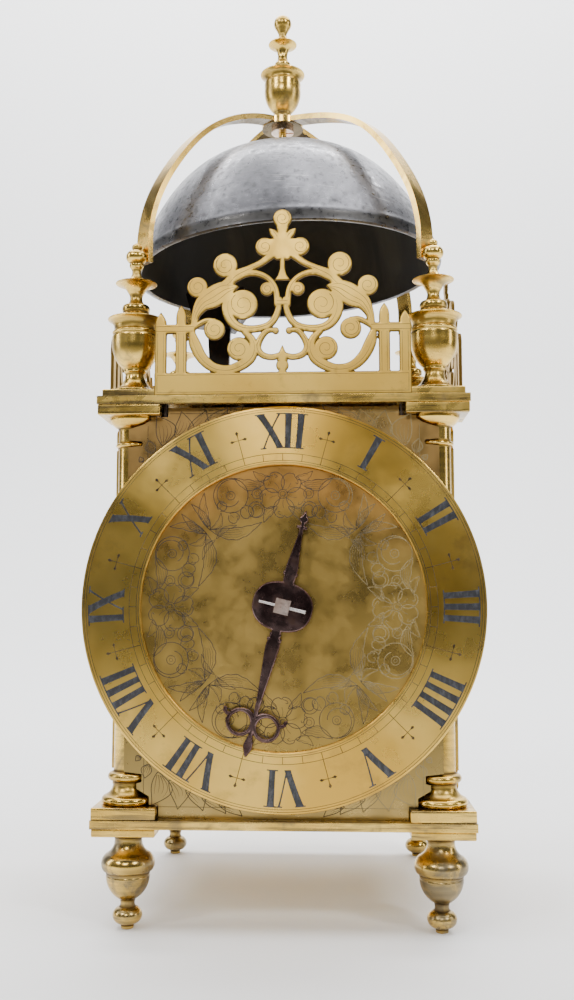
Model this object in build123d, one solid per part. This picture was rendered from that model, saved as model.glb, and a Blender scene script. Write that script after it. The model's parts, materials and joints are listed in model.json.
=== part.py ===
"""A weight-driven lantern clock: brass case on four turned feet, one hand, bell on top.

Millimetres. X runs to the right, Y to the rear and Z up. The origin is on the ground,
in the middle between the four feet. Every arbor of the movement lies along Y.
"""
from build123d import *
from math import atan2, cos, degrees, hypot, pi, radians, sin, sqrt
import os

# ---------------------------------------------------------------- driving dimensions
running = 0.06              # radial clearance of a shaft that turns in a hole
seat = 0.03                 # radial clearance of pieces that are fixed on each other
reveal = 0.4                # gap left round a piece that is cut to fit

# case
pillar_pitch = 127.0        # between pillar axes, across and from front to back
plate_side = 153.6
plate_t = 3.4
foot_h = 38.3               # ground to the foot's square block
foot_block_t = 3.2
foot_block = 25.5
pillar_h = 168.0
pillar_block = 26.0
pillar_base_t = 4.8         # square block at the pillar's foot
pillar_cap_t = 4.4          # square block at its head
shaft_r = 6.35
stud_r = 3.0                # studs that screw the foot, plates, pillar and finial together
stud_grip = 8.0             # how far a stud runs into the foot or finial
base_r = 10.8
base_ring_r = 8.7
base_ring_z = 15.7          # centre of the lower ring, above the pillar's foot
top_ring_r = 7.6
top_ring_drop = 15.9        # centre of the upper ring, below the pillar's head
top_ring_t = 1.8
capital_r = 10.2
capital_h = 4.4
finial_block = 23.0
finial_block_t = 3.2

# levels that follow
bottom_z = foot_h + foot_block_t            # underside of the bottom plate
floor_z = bottom_z + plate_t                # its top, where the pillars stand
roof_z = floor_z + pillar_h                 # underside of the top plate
top_z = roof_z + plate_t                    # its top, where frets and finials stand
pillar_at = pillar_pitch / 2
plate_edge = plate_side / 2

# dial
panel_off = 6.4             # from the pillar axes out to the back of a case panel
dial_t = 1.4
dial_edge = 64.3            # half the dial plate's width
dial_gap = 1.0              # dial plate's top edge to the top plate
dial_rise = 0.6             # centre of the dial, above the middle of the pillars
dial_z = (floor_z + roof_z) / 2 + dial_rise
ring_r = 82.5               # chapter ring
ring_bore_r = 58.3
ring_t = 1.6
ring_rivet_r = 1.2
ring_rivet_at = 70.0
hand_gap = 1.0              # from the chapter ring out to the hand
hand_t = 1.6
boss_long = 24.7            # oval boss of the hand, across it and along it
boss_short = 20.2
pointer_len = 61.5
loop_at = 48.6              # the pointer's two loops, from the hand's centre
loop_out = 5.5              # and out from its middle line
loop_r = 5.7
tail_len = 40.0
hand_turn = 194.0           # the hand at rest, clockwise from twelve
square_side = 6.0           # square end of the hour arbor
square_out = 3.2            # how far it stands out of the hand
taper_pin_len = 19.3
taper_pin_r = 0.8
dial_pin_r = 0.9
dial_pin_x = 49.0

# frets
fret_t = 1.5
fret_half = 53.0
fret_band_h = 9.4
fret_set = 0.2              # behind the plate's edge
side_fret_scale = 0.9      # the side frets are a little lower, so that the bell clears them
lug_len = 9.0
lug_depth = 6.0
lug_t = 1.6
screw_r = 1.3
screw_head_r = 2.4

# bell and its cage: the old cage leans a little, so its crown is off the middle
crown_x = -3.8
crown_y = 1.5
crown_rise = 150.0          # underside of the cage's disc, above the top plate
crown_z = top_z + crown_rise
crown_disc_r = 10.2
crown_disc_t = 3.2
strap_w = 8.0
strap_t = 2.5
strap_pin_r = 1.2
strap_pin_rise = 2.2        # the pin's middle, above the strap's lower end
strap_foot_rise = 61.2      # lower end of the straps, above the top plate
strap_foot_z = top_z + strap_foot_rise
strap_off = 3.0             # from the finial's axis in to the flat the strap stands against
bell_r = 74.6
bell_h = 59.5
bell_wall = 2.9
bell_lean = 2.8             # degrees, its right side hangs higher
bell_drop = 15.0            # top of the bell, below the cage's disc
bell_top_z = crown_z - bell_drop
hang_r = 2.0                # the bell hangs on this screw
hang_hole_r = 2.6
nut_r = 5.5
nut_t = 1.8
washer_r = 9.0
washer_t = 1.4
inner_washer_r = 7.0
crown_sag = 0.1             # the bell's crown falls this much under its washers

# movement frame: three crosses, one behind the other
bar_w = 14.0
bar_t = 3.0
bar_y = 48.5                # front and rear cross, from the centre one
arm_rise = 15.2             # arms of the crosses, above the dial's centre
arm_z = dial_z + arm_rise
arm_half = 52.0
arm_h = 11.0
tenon_w = 8.0
tenon_out = 5.5             # tenon above the top plate
pivot_r = 1.0
arbor_r = 1.3
great_arbor_r = 2.4
report_r = 1.7              # great arbor in front of the front cross
pivot_len = 1.2             # pivots in the centre cross, one from each side
great_drop = 41.5           # both great wheels, below the dial's centre
great_z = dial_z - great_drop
count_stud_r = 2.5
arbor_end_r = 4.4           # hour arbor where it turns in the dial plate
cock_rise = 20.0            # pendulum cock, above the pallets

# going train: teeth and modules
great_teeth, second_leaves, great_m = 64, 8, 0.9
second_teeth, escape_leaves, second_m = 60, 8, 0.7
report_leaves, hour_teeth = 6, 72
escape_teeth = 30
escape_r = 17.0
pallet_gap = 0.9            # pallets to the escape wheel's tips, with the anchor level

# striking train
strike_teeth, hoop_leaves, strike_m = 78, 6, 0.8
hoop_teeth, warn_leaves, hoop_m = 60, 6, 0.7
warn_teeth, fly_leaves, warn_m = 48, 6, 0.6
count_leaves, count_teeth, count_m = 8, 48, 0.9
hammer_pins, hammer_pin_at, hammer_pin_r = 13, 26.0, 0.9
count_r = 28.0
hoop_r = 16.5
fly_r = 11.0

# layers: the front face of each wheel
hour_wheel_y, star_y = -60.4, -57.6
going_great_y, second_y, escape_y = -11.2, -40.0, -28.4
strike_great_y, hoop_y, warn_y = 8.0, 34.0, 40.0
wheel_t = 2.0

# levers
hammer_x = -38.0
hammer_y = 34.0
head_w, head_d, head_h = 30.5, 14.0, 19.3
head_rise = 58.7            # underside of the hammer head, above the top plate
head_z = top_z + head_rise
leaf_w = 6.0                # width of the hammer's spring and stop
spring_x = hammer_x - 7.4
spring_t = 1.0
stop_x = hammer_x - 9.4
stop_t = 2.2
detent_x = 48.0
lever_t = 2.0

# doors and back
door_t = 1.2
door_gap = 0.3              # between door and pillar shaft
hinge_y = 48.5
hinge_r = 1.0
hinge_tail = 5.0
door_front = 61.0
back_t = 1.2


# ---------------------------------------------------------------- helpers
def flat(y):
    """The upright plane at depth y, drawn as seen from the front: x right, z up."""
    return Plane(origin=(0, y, 0), x_dir=(1, 0, 0), z_dir=(0, -1, 0))


def poly(*points):
    """A flat polygon that always faces up, whichever way round its points run."""
    area = sum(a[0] * b[1] - b[0] * a[1] for a, b in zip(points, points[1:] + points[:1]))
    return make_face(Polyline(*(points if area > 0 else points[::-1]), close=True))


def slab(shape, y_front, y_back):
    """A flat shape, drawn from the front, made solid from y_front back to y_back."""
    return extrude(flat(y_back) * shape, amount=y_back - y_front)


def rod(x, z, r, y_front, y_back):
    return slab(Pos(x, z) * Circle(r), y_front, y_back)


def post(x, y, r, z_low, z_high):
    return Pos(x, y, z_low) * Cylinder(r, z_high - z_low, align=(Align.CENTER, Align.CENTER, Align.MIN))


def block(x_low, x_high, y_low, y_high, z_low, z_high):
    size = (x_high - x_low, y_high - y_low, z_high - z_low)
    return Pos(x_low, y_low, z_low) * Box(*size, align=(Align.MIN, Align.MIN, Align.MIN))


def turned(start, *steps):
    """A turned solid about Z. A step (r, z) is a straight cut to there, and a step
    (r_mid, z_mid, r, z) an arc through its middle point."""
    edges, at = [Line((0, start[1]), start)] if start[0] else [], start
    for step in steps:
        end = step[-2:]
        edges.append(Line(at, end) if len(step) == 2 else ThreePointArc(at, step[:2], end))
        at = end
    if at[0]:
        edges.append(Line(at, (0, at[1])))
    edges.append(Line((0, at[1]), (0, start[1])))
    return revolve(Plane.XZ * make_face(edges), Axis.Z)


def corners():
    """The four pillar places, with plain names."""
    for front, y in (("front", -pillar_at), ("rear", pillar_at)):
        for side, x in (("left", -pillar_at), ("right", pillar_at)):
            yield f"{front}_{side}", x, y


def tooth_ring(teeth, m, turn, tip=0.9, root=1.15, tip_share=0.2, root_share=0.6):
    """The outline of a wheel: straight-sided teeth, the first one centred on angle turn.
    The shares are how much of the pitch a tooth takes at its tip and at its root."""
    r_tip, r_root, pitch = m * (teeth / 2 + tip), m * (teeth / 2 - root), 2 * pi / teeth
    points = []
    for i in range(teeth):
        middle = radians(turn) + i * pitch
        flank = ((r_root, -root_share), (r_tip, -tip_share), (r_tip, tip_share), (r_root, root_share))
        for r, offset in flank:
            angle = middle + offset * pitch / 2
            points.append((r * cos(angle), r * sin(angle)))
    return poly(*points)


def wheel(teeth, m, turn, bore_r, rim=3.0, hub_r=6.0, spoke=3.2):
    """A toothed wheel with four crossings, drawn flat about its own centre."""
    inner = m * teeth / 2 - 1.15 * m - rim
    windows = Circle(inner) - Circle(hub_r) - Rectangle(spoke, 3 * inner) - Rectangle(3 * inner, spoke)
    return tooth_ring(teeth, m, turn) - windows - Circle(bore_r)


def leaves(teeth, m, turn):
    """A pinion's outline, with its leaves thinned so that they clear the wheel's teeth."""
    return tooth_ring(teeth, m, turn, tip=0.75, root=1.2, tip_share=0.16, root_share=0.42)


def pitch_gap(a, b, m):
    """Distance between the centres of two wheels in mesh."""
    return (a + b) * m / 2


def gap_turn(teeth, toward):
    """The turn that puts a gap between two teeth on the direction toward, in degrees."""
    return toward + 180 / teeth


def arbor(x, z, y_front, y_back, r=arbor_r, pivot=pivot_r, front_pivot=bar_t, back_pivot=pivot_len):
    """A plain arbor, with a thinner pivot at each end that has a bearing."""
    body = rod(x, z, r, y_front + front_pivot, y_back - back_pivot)
    if front_pivot:
        body += rod(x, z, pivot, y_front, y_front + front_pivot)
    if back_pivot:
        body += rod(x, z, pivot, y_back - back_pivot, y_back)
    return body


parts = {}

# train centres, from the great wheels up
second_z = great_z + pitch_gap(great_teeth, second_leaves, great_m)
escape_z = second_z + pitch_gap(second_teeth, escape_leaves, second_m)
pallet_z = escape_z + sqrt(2) * escape_r
hour_m = 2 * great_drop / (hour_teeth + report_leaves)
hoop_z = great_z + pitch_gap(strike_teeth, hoop_leaves, strike_m)
warn_z = hoop_z + pitch_gap(hoop_teeth, warn_leaves, hoop_m)
fly_x = pitch_gap(warn_teeth, fly_leaves, warn_m)
count_z = great_z + pitch_gap(count_leaves, count_teeth, count_m)

front_face, front_back = -bar_y - bar_t / 2, -bar_y + bar_t / 2     # front cross
rear_face, rear_back = bar_y - bar_t / 2, bar_y + bar_t / 2         # rear cross
centre_face, centre_back = -bar_t / 2, bar_t / 2                    # centre cross


# ---------------------------------------------------------------- case: feet, pillars, finials
def foot():
    block_z = foot_h
    body = turned((2.6, 0), (2.6, 1.5), (3.2, 1.9), (6.0, 5.0, 3.2, 8.6), (2.9, 10.0, 3.3, 11.6),
                  (7.2, 15.2, 8.9, 20.4), (9.0, 21.0), (8.6, 21.3), (9.0, 21.6), (9.0, 22.5), (10.1, 23.1),
                  (10.9, 25.8, 9.4, 29.2), (9.1, 29.5), (6.6, 31.6, 5.6, 34.4), (5.5, 35.4), (5.9, 36.6),
                  (8.6, block_z - 1.0), (8.6, block_z))
    side = foot_block / 2
    body += block(-side, side, -side, side, block_z, block_z + foot_block_t)
    return body - post(0, 0, stud_r + seat, bottom_z - stud_grip, bottom_z)


def pillar():
    """The shaft with its mouldings, square ends and the studs that hold foot and finial."""
    base, head = pillar_base_t, pillar_h - pillar_cap_t
    low, high = base_ring_z, pillar_h - top_ring_drop
    body = turned((base_r - 0.8, base), (base_r + 0.3, base + 1.7, base_r - 1.0, base + 3.4),
                  (7.5, base + 5.2, 6.6, low - 1.9), (7.2, low - 1.7), (base_ring_r, low, 7.2, low + 1.7),
                  (shaft_r, low + 2.2), (shaft_r, high - top_ring_t / 2),
                  (top_ring_r, high, shaft_r, high + top_ring_t / 2), (shaft_r, head - capital_h),
                  (capital_r - 1.2, head - 2.6, capital_r, head - 0.9), (capital_r, head))
    side = pillar_block / 2
    body += block(-side, side, -side, side, 0, base) + block(-side, side, -side, side, head, pillar_h)
    reach = plate_t + stud_grip - 0.5
    body += post(0, 0, stud_r, -reach, 0) + post(0, 0, stud_r, pillar_h, pillar_h + reach)
    return Pos(0, 0, floor_z) * body


def corner_finial():
    z = finial_block_t
    # base, urn, sharp rim, step, saucer and a knob with a bud, heights above the block
    body = turned((finial_block / 2 - 1.6, z), (10.1, z + 1.0), (6.2, z + 3.2, 4.2, z + 7.2), (4.0, z + 8.4),
                  (4.9, z + 9.4), (4.7, z + 10.2), (8.7, z + 15.6, 9.9, z + 21.3), (10.0, z + 24.6),
                  (9.5, z + 25.0), (9.5, z + 25.6), (10.0, z + 26.0), (9.9, z + 26.6), (9.1, z + 27.2),
                  (9.1, z + 28.4), (9.8, z + 30.4, 11.9, z + 31.8), (11.9, z + 32.3), (8.0, z + 33.4),
                  (5.4, z + 35.2), (5.9, z + 36.8, 5.4, z + 38.4), (3.8, z + 38.8),
                  (2.6, z + 41.5, 3.6, z + 44.2), (5.4, z + 46.6, 8.9, z + 47.8), (8.9, z + 48.2),
                  (4.2, z + 49.2, 1.9, z + 52.4), (1.9, z + 54.0), (2.9, z + 55.4), (3.2, z + 56.4),
                  (2.6, z + 57.2), (4.6, z + 60.1, 2.4, z + 62.7), (1.7, z + 63.2),
                  (2.2, z + 64.4, 1.2, z + 65.6), (0.4, z + 66.3))
    side = finial_block / 2
    body += block(-side, side, -side, side, 0, z)
    return Pos(0, 0, top_z) * (body - post(0, 0, stud_r + seat, 0, stud_grip))


def panel_edge(edge, roof_notch=0.0):
    """One upright edge of a case panel, from bottom to top: it is notched round the
    pillar's blocks, base, rings and capital. Points are (distance from the middle, z)."""
    def beside(r):
        return pillar_at - sqrt(max((r + reveal) ** 2 - panel_off ** 2, 0.0))
    clear = pillar_at - pillar_block / 2 - reveal
    low, high = floor_z + base_ring_z, roof_z - top_ring_drop
    base = floor_z + pillar_base_t + reveal
    head = roof_z - pillar_cap_t - reveal
    points = [(clear, floor_z + 0.1), (clear, base), (beside(base_r + 0.3), base),
              (beside(base_r + 0.3), base + 3.4), (beside(7.4), base + 6.4), (beside(7.4), low - 2.0),
              (beside(base_ring_r), low - 1.4), (beside(base_ring_r), low + 1.7), (edge, low + 2.6),
              (edge, high - 1.5), (beside(top_ring_r), high - 0.9), (beside(top_ring_r) - 0.4, high),
              (beside(top_ring_r), high + 0.9), (edge, high + 1.5), (edge, head - capital_h - 0.6),
              (beside(8.2), head - 2.9), (beside(capital_r), head - 1.2), (beside(capital_r), head)]
    inner = clear - roof_notch
    return points + [(inner, head), (inner, roof_z - dial_gap)]


def mirrored(points):
    return [(-x, z) for x, z in reversed(points)]


# ---------------------------------------------------------------- frets
def disc(x, z, r):
    return Pos(x, z) * Circle(r)


def bar(*points):
    """A bent bar of changing width: points are (x, z, half width) along its middle."""
    left, right = [], []
    for i, (x, z, half) in enumerate(points):
        before, after = points[max(i - 1, 0)], points[min(i + 1, len(points) - 1)]
        run = hypot(after[0] - before[0], after[1] - before[1])
        across_x, across_z = (before[1] - after[1]) / run * half, (after[0] - before[0]) / run * half
        left.append((x + across_x, z + across_z))
        right.append((x - across_x, z - across_z))
    edges = [Spline(*right), Line(right[-1], left[-1]), Spline(*left), Line(left[0], right[0])]
    face = make_face(edges).face()
    return face if face.normal_at().Z > 0 else -face


def fret_half_shape():
    """The right half of the pierced scrollwork, with heights above its own foot."""
    rail_low, rail_high, rail_len = 26.0, 29.8, 16.8
    rail_z = (rail_low + rail_high) / 2
    shape = Pos(fret_half / 2, fret_band_h / 2) * Rectangle(fret_half, fret_band_h)
    shape += Pos(fret_half - rail_len / 2, rail_z) * Rectangle(rail_len, rail_high - rail_low)
    for x, w, tip in ((50.5, 4.8, 35.3), (42.0, 4.6, 38.2)):        # two posts with pointed tops
        shape += Pos(x, (rail_low + fret_band_h) / 2) * Rectangle(w, rail_low - fret_band_h + 1)
        low, half, neck = rail_high - 0.5, w / 2 - 0.1, w * 0.4
        shape += poly((x - half, low), (x + half, low), (x + neck, tip - 3), (x, tip), (x - neck, tip - 3))
    # long leaf from the rail, the arm up to the crest and the branch down to the waist
    shape += bar((36.7, 29.4, 1.5), (36.0, 33.8, 1.8), (33.2, 38.6, 3.2), (28.4, 41.6, 4.6),
                 (24.0, 44.4, 3.6), (20.6, 45.2, 1.6), (18.4, 45.6, 0.3))
    shape += bar((24.6, 45.6, 2.0), (22.0, 47.8, 2.2), (19.4, 50.6, 2.0), (14.0, 53.2, 1.4), (9.0, 55.6, 1.4),
                 (5.0, 58.6, 1.6))
    shape += bar((21.0, 48.6, 1.6), (15.0, 51.2, 1.4), (10.5, 51.2, 1.3), (6.2, 49.2, 1.2), (3.4, 45.8, 1.2),
                 (2.4, 42.0, 1.3), (2.2, 38.0, 1.3))
    # stem of the big scroll, the curl at the rail's end and the C scroll below
    shape += bar((1.2, 40.0, 1.2), (1.7, 36.0, 1.3), (2.9, 32.5, 1.4), (5.2, 29.6, 1.4),
                 (8.4, 28.2, 1.4), (12.5, 27.6, 1.5), (16.8, 28.0, 1.7), (20.4, 30.2, 1.9),
                 (22.7, 34.2, 2.1), (23.0, 38.5, 2.1), (21.3, 42.0, 1.6))
    shape += bar((36.6, 28.4, 0.9), (34.5, 30.0, 1.1), (31.5, 31.4, 1.1), (28.2, 31.4, 0.9))
    shape += bar((37.7, 26.6, 1.3), (36.3, 21.5, 2.4), (33.3, 15.7, 2.3), (28.5, 11.6, 2.0),
                 (22.5, 10.6, 1.9), (17.5, 12.2, 2.1), (13.3, 15.3, 2.1), (11.8, 19.4, 1.8),
                 (12.7, 23.2, 1.6), (15.6, 26.4, 1.3))
    # curls
    for x, z, r in ((35.4, 45.6, 4.3), (23.8, 54.8, 5.1), (7.4, 62.5, 3.9), (6.4, 44.5, 2.9),
                    (16.5, 38.0, 6.3), (28.2, 27.5, 4.4), (18.0, 19.3, 4.9), (2.8, 26.8, 1.4)):
        shape += disc(x, z, r)
    # heart over the band, with its pendant
    shape += bar((3.6, 27.2, 0.9), (6.5, 26.6, 1.1), (9.0, 23.6, 1.3), (10.2, 19.8, 1.4), (8.4, 16.8, 1.3),
                 (4.5, 15.7, 1.2), (0.0, 16.6, 1.3))
    shape += poly((0, 20.8), (0, 14.0), (2.2, 14.0), (1.4, 17.6)) + disc(0, 12.2, 2.6)
    shape += Pos(0.8, fret_band_h + 0.5) * Rectangle(1.6, 3.0)
    # crest, its hanging stem and the waist
    shape += disc(0, 74.6, 3.9) + bar((1.2, 65.0, 1.2), (3.4, 68.0, 1.6), (5.4, 70.1, 0.3))
    shape += poly((0, 73), (2.8, 72.2), (2.0, 68.5), (2.6, 66.0), (7.0, 66.0), (6.0, 59.0), (2.4, 56.9),
                  (1.0, 57.0), (1.1, 53.0), (1.8, 50.3), (3.3, 48.2), (0, 48.2))
    return shape + Pos(1.15, 38.7) * Rectangle(2.3, 2.5)


def fret(scale_up=1.0):
    """A whole fret, standing on its foot line and facing the front, with two lugs behind."""
    half = fret_half_shape()
    whole = half + mirror(half, Plane.YZ)
    if scale_up != 1.0:
        whole = scale(whole, by=(1, scale_up, 1))
    solid = slab(whole, 0, fret_t)
    for x in (-1, 1):
        at = x * (fret_half - 15)
        solid += block(at - lug_len / 2, at + lug_len / 2, fret_t - 0.1, lug_depth, 0, lug_t)
        solid -= post(at, (fret_t + lug_depth) / 2, screw_r + seat, -1, lug_t + 1)
    return solid


def fret_places():
    """Each fret's name, its turn about Z from the front, and its scale upwards."""
    return (("front", 0, 1.0), ("right", 90, side_fret_scale), ("left", -90, side_fret_scale))


def place_on_side(solid, turn):
    """Moves a piece drawn for the front edge of the top plate to the side at that turn."""
    return Rot(0, 0, turn) * Pos(0, -plate_edge + fret_set, top_z) * solid


# ---------------------------------------------------------------- bell and cage
def bell_outline(r, h, z0):
    """Half a bell: full at the mouth and flattened at the crown, r(z)^3 + z^1.2 = 1 in shares."""
    steps = (0.0, 0.14, 0.3, 0.46, 0.62, 0.76, 0.87, 0.945, 0.985)
    return [(r * (1 - s ** 1.2) ** (1 / 3), z0 + h * s) for s in steps] + [(0, z0 + h)]


def bell_solid():
    mouth = bell_top_z - bell_h
    outer = bell_outline(bell_r, bell_h, mouth)
    inner = bell_outline(bell_r - bell_wall, bell_h - bell_wall, mouth)
    edges = [Spline(*outer, tangents=((-0.25, 1), (-1, 0))), Spline(*inner, tangents=((-0.25, 1), (-1, 0))),
             Line(outer[0], inner[0]), Line(outer[-1], inner[-1])]
    body = revolve(Plane.XZ * make_face(edges), Axis.Z)
    return body - post(0, 0, hang_hole_r, mouth, bell_top_z + 1)


def hung(solid):
    """Leans a piece of the bell about its crown and moves it under the cage's disc."""
    pivot = Pos(crown_x, crown_y, bell_top_z)
    return pivot * Rot(0, -bell_lean, 0) * Pos(0, 0, -bell_top_z) * solid


def strap(x, y):
    """One strap of the cage, from the disc out and down to the finial at (x, y)."""
    span = hypot(x - crown_x, y - crown_y)
    turn = degrees(atan2(y - crown_y, x - crown_x))
    foot = span - strap_off - seat
    bend = strap_foot_z + 11
    outer = [(crown_disc_r - 2, crown_z + crown_disc_t), (26, crown_z - 1.5), (span - 38, crown_z - 15.5),
             (span - 19, crown_z - 37), (span - 6.0, crown_z - 62), (foot, bend)]
    inner = [(crown_disc_r - 2, crown_z + crown_disc_t - strap_t), (25.4, crown_z - 4.0),
             (span - 39.4, crown_z - 17.6), (span - 21.1, crown_z - 38.4), (span - 8.4, crown_z - 62.8),
             (foot - strap_t, bend)]
    edges = [Spline(*outer), Spline(*inner), Line(outer[0], inner[0])]
    edges += [Polyline(outer[-1], (foot, strap_foot_z), (foot - strap_t, strap_foot_z), inner[-1])]
    band = extrude(Plane.XZ * make_face(edges), amount=strap_w / 2, both=True)
    pin = Pos(foot - 0.1, 0, strap_foot_z + strap_pin_rise) * Rot(0, 90, 0) * Cylinder(
        strap_pin_r, 2.4, align=(Align.CENTER, Align.CENTER, Align.MIN))
    return Pos(crown_x, crown_y, 0) * Rot(0, 0, turn) * (band + pin), turn


# ---------------------------------------------------------------- dial
def hand_shape():
    """The hand, drawn pointing up at twelve, about its centre."""
    shape = Ellipse(boss_long / 2, boss_short / 2)
    neck = boss_short / 2 - 2
    # pointer: a blade, a thin stem between two open loops, and a leaf-shaped tip
    shape += bar((0, neck, 2.0), (0, 14.4, 2.2), (0, 16.7, 2.9), (0, 28.0, 2.0), (0, 39.5, 1.1),
                 (0, loop_at, 0.9), (0, pointer_len - 8.6, 0.9), (0, pointer_len - 4.4, 1.9),
                 (0, pointer_len, 0.6))
    for side in (-1, 1):
        shape += Pos(side * loop_out, loop_at) * (Circle(loop_r) - Circle(loop_r - 1.6))
        ear = ((0.4, -2.6), (2.6, -4.8), (5.8, -5.0), (8.2, -3.8), (9.8, -2.3), (11.4, -2.3), (12.6, -3.4))
        shape += bar(*[(side * x, loop_at + up, 0.8) for x, up in ear])
        shape += disc(side * 12.8, loop_at - 3.7, 1.2)
    # tail: a tapered stem that ends in a ball and a point
    shape += bar((0, -neck, 2.0), (0, -14.8, 2.6), (0, -22.0, 1.8), (0, -31.0, 0.9), (0, 3.0 - tail_len, 0.9))
    shape += disc(0, 3.6 - tail_len, 1.8)
    shape += bar((0, 2.6 - tail_len, 1.1), (0, 1.2 - tail_len, 0.6), (0, -tail_len, 0.2))
    for at, half in ((11.8, 2.4), (13.6, 3.0), (-11.8, 2.4), (-13.6, 3.0), (7.0 - tail_len, 2.2)):
        shape += Pos(0, at) * Rectangle(2 * half, 1.4)
    return shape


# ---------------------------------------------------------------- build: case
def make_case():
    holes = [post(x, y, stud_r + seat, bottom_z - 1, top_z + 1) for _, x, y in corners()]
    square = Rectangle(plate_side, plate_side)
    bottom = Pos(0, 0, bottom_z) * extrude(square, amount=plate_t)
    top = Pos(0, 0, roof_z) * extrude(square, amount=plate_t)
    for hole in holes:
        bottom, top = bottom - hole, top - hole
    for y in (-bar_y, 0, bar_y):
        wide, deep = tenon_w / 2 + seat, bar_t / 2 + seat
        slot = block(-wide, wide, y - deep, y + deep, bottom_z - 1, top_z + 1)
        bottom, top = bottom - slot, top - slot
    for y in (-18.0, 23.0):             # where the two ropes come down from their pulleys
        for x in (-13.0, 13.0):
            bottom -= post(x, y, 4.5, bottom_z - 1, floor_z + 1)
    top -= block(hammer_x - 6.6, hammer_x + 14.0, hammer_y - 4.2, hammer_y + 4.2, roof_z - 1, top_z + 1)
    for side in (-1, 1):
        pin = post(side * hinge_x(), hinge_y, hinge_r + running, bottom_z - 1, top_z + 1)
        bottom, top = bottom - pin, top - pin
        pin_y = -pillar_at - panel_off - dial_t / 2
        top -= post(side * dial_pin_x, pin_y, dial_pin_r + seat, roof_z - 1, roof_z + 2)
    for name, turn, _ in fret_places():
        for x in (-1, 1):
            at = Pos(x * (fret_half - 15), (fret_t + lug_depth) / 2, 0)
            top -= place_on_side(at * post(0, 0, screw_r + seat, -2.6, 1), turn)
    low, high = hammer_y - leaf_w / 2 - seat, hammer_y + leaf_w / 2 + seat
    top -= block(stop_x - stop_t / 2 - seat, stop_x + stop_t / 2 + seat, low, high, top_z - 2, top_z + 1)
    spring_half = spring_t / 2 + seat
    bottom -= block(spring_x - spring_half, spring_x + spring_half, low, high, floor_z - 2, floor_z + 1)
    parts["bottom_plate"], parts["top_plate"] = bottom, top
    one_foot, one_pillar, one_finial = foot(), pillar(), corner_finial()
    for name, x, y in corners():
        parts[f"foot_{name}"] = Pos(x, y, 0) * one_foot
        parts[f"pillar_{name}"] = Pos(x, y, 0) * one_pillar
        parts[f"finial_{name}"] = Pos(x, y, 0) * one_finial
    screws = []
    for name, turn, up in fret_places():
        parts[f"fret_{name}"] = place_on_side(fret(up), turn)
        for x in (-1, 1):
            at = Pos(x * (fret_half - 15), (fret_t + lug_depth) / 2, 0)
            screw = post(0, 0, screw_r, -2.4, lug_t) + post(0, 0, screw_head_r - 0.4, lug_t, lug_t + 1.3)
            screws.append(place_on_side(at * screw, turn))
    parts["fret_screws"] = Compound(children=screws)


def make_bell():
    cage = Pos(crown_x, crown_y, crown_z) * Cylinder(
        crown_disc_r, crown_disc_t, align=(Align.CENTER, Align.CENTER, Align.MIN))
    for name, x, y in corners():
        band, turn = strap(x, y)
        cage += band
        away = Pos(x, y, strap_foot_z) * Rot(0, 0, turn)
        socket = away * Pos(0, 0, strap_pin_rise) * Rot(0, -90, 0) * Cylinder(
            strap_pin_r + seat, strap_off + 3, align=(Align.CENTER, Align.CENTER, Align.MIN))
        cut = away * block(-strap_off - 6, -strap_off, -6, 6, -seat, 20)
        parts[f"finial_{name}"] -= socket + cut
    cage -= post(crown_x, crown_y, hang_r + seat, crown_z - 5, crown_z + crown_disc_t + 1)
    parts["bell_cage"] = cage
    z = crown_disc_t
    top = turned((6.0, z), (5.6, z + 0.6), (4.3, z + 1.6), (3.8, z + 4.2), (4.2, z + 4.6), (4.2, z + 5.4),
                 (4.9, z + 6.2), (8.0, z + 10.8, 9.0, z + 17.3), (9.05, z + 20.6), (8.6, z + 21.2),
                 (8.6, z + 22.0), (9.2, z + 23.6, 11.1, z + 25.0), (11.1, z + 25.4), (7.6, z + 26.6),
                 (4.2, z + 28.8), (3.9, z + 30.2), (4.0, z + 31.2), (2.9, z + 32.2),
                 (2.4, z + 35.0, 3.0, z + 38.0), (4.6, z + 39.9, 7.1, z + 41.0), (7.1, z + 41.5),
                 (4.0, z + 42.8, 2.1, z + 45.4), (2.0, z + 47.0), (3.6, z + 50.0), (3.9, z + 50.4),
                 (4.4, z + 52.8, 2.6, z + 55.8), (0.4, z + 56.4))
    screw_end = bell_top_z - bell_wall - 2 * washer_t - nut_t - 4
    top += post(0, 0, hang_r, screw_end - crown_z, z)
    parts["top_finial"] = Pos(crown_x, crown_y, crown_z) * top
    nut = post(0, 0, nut_r, -nut_t, 0) - post(0, 0, hang_r + seat, -nut_t - 1, 1)
    nut -= block(0.4, nut_r + 1, -0.7, 0.7, -nut_t - 1, -nut_t + 0.7)
    parts["cage_nut"] = Pos(crown_x, crown_y, crown_z) * nut
    parts["bell"] = hung(bell_solid())
    under = bell_top_z - bell_wall - crown_sag
    fixings = []
    for r, z_low, thick in ((washer_r, bell_top_z, washer_t), (inner_washer_r, under - washer_t, washer_t),
                            (nut_r - 0.8, under - washer_t - 2.8, 2.8), (3.4, bell_top_z + washer_t, 3.0)):
        ring = post(0, 0, r, z_low, z_low + thick)
        fixings.append(hung(ring - post(0, 0, hang_hole_r, z_low - 1, z_low + thick + 1)))
    parts["bell_fixings"] = Compound(children=fixings)


def hinge_x():
    """The doors' hinge line, in the middle of the door's thickness."""
    return pillar_at + panel_off + door_gap + door_t / 2


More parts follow.
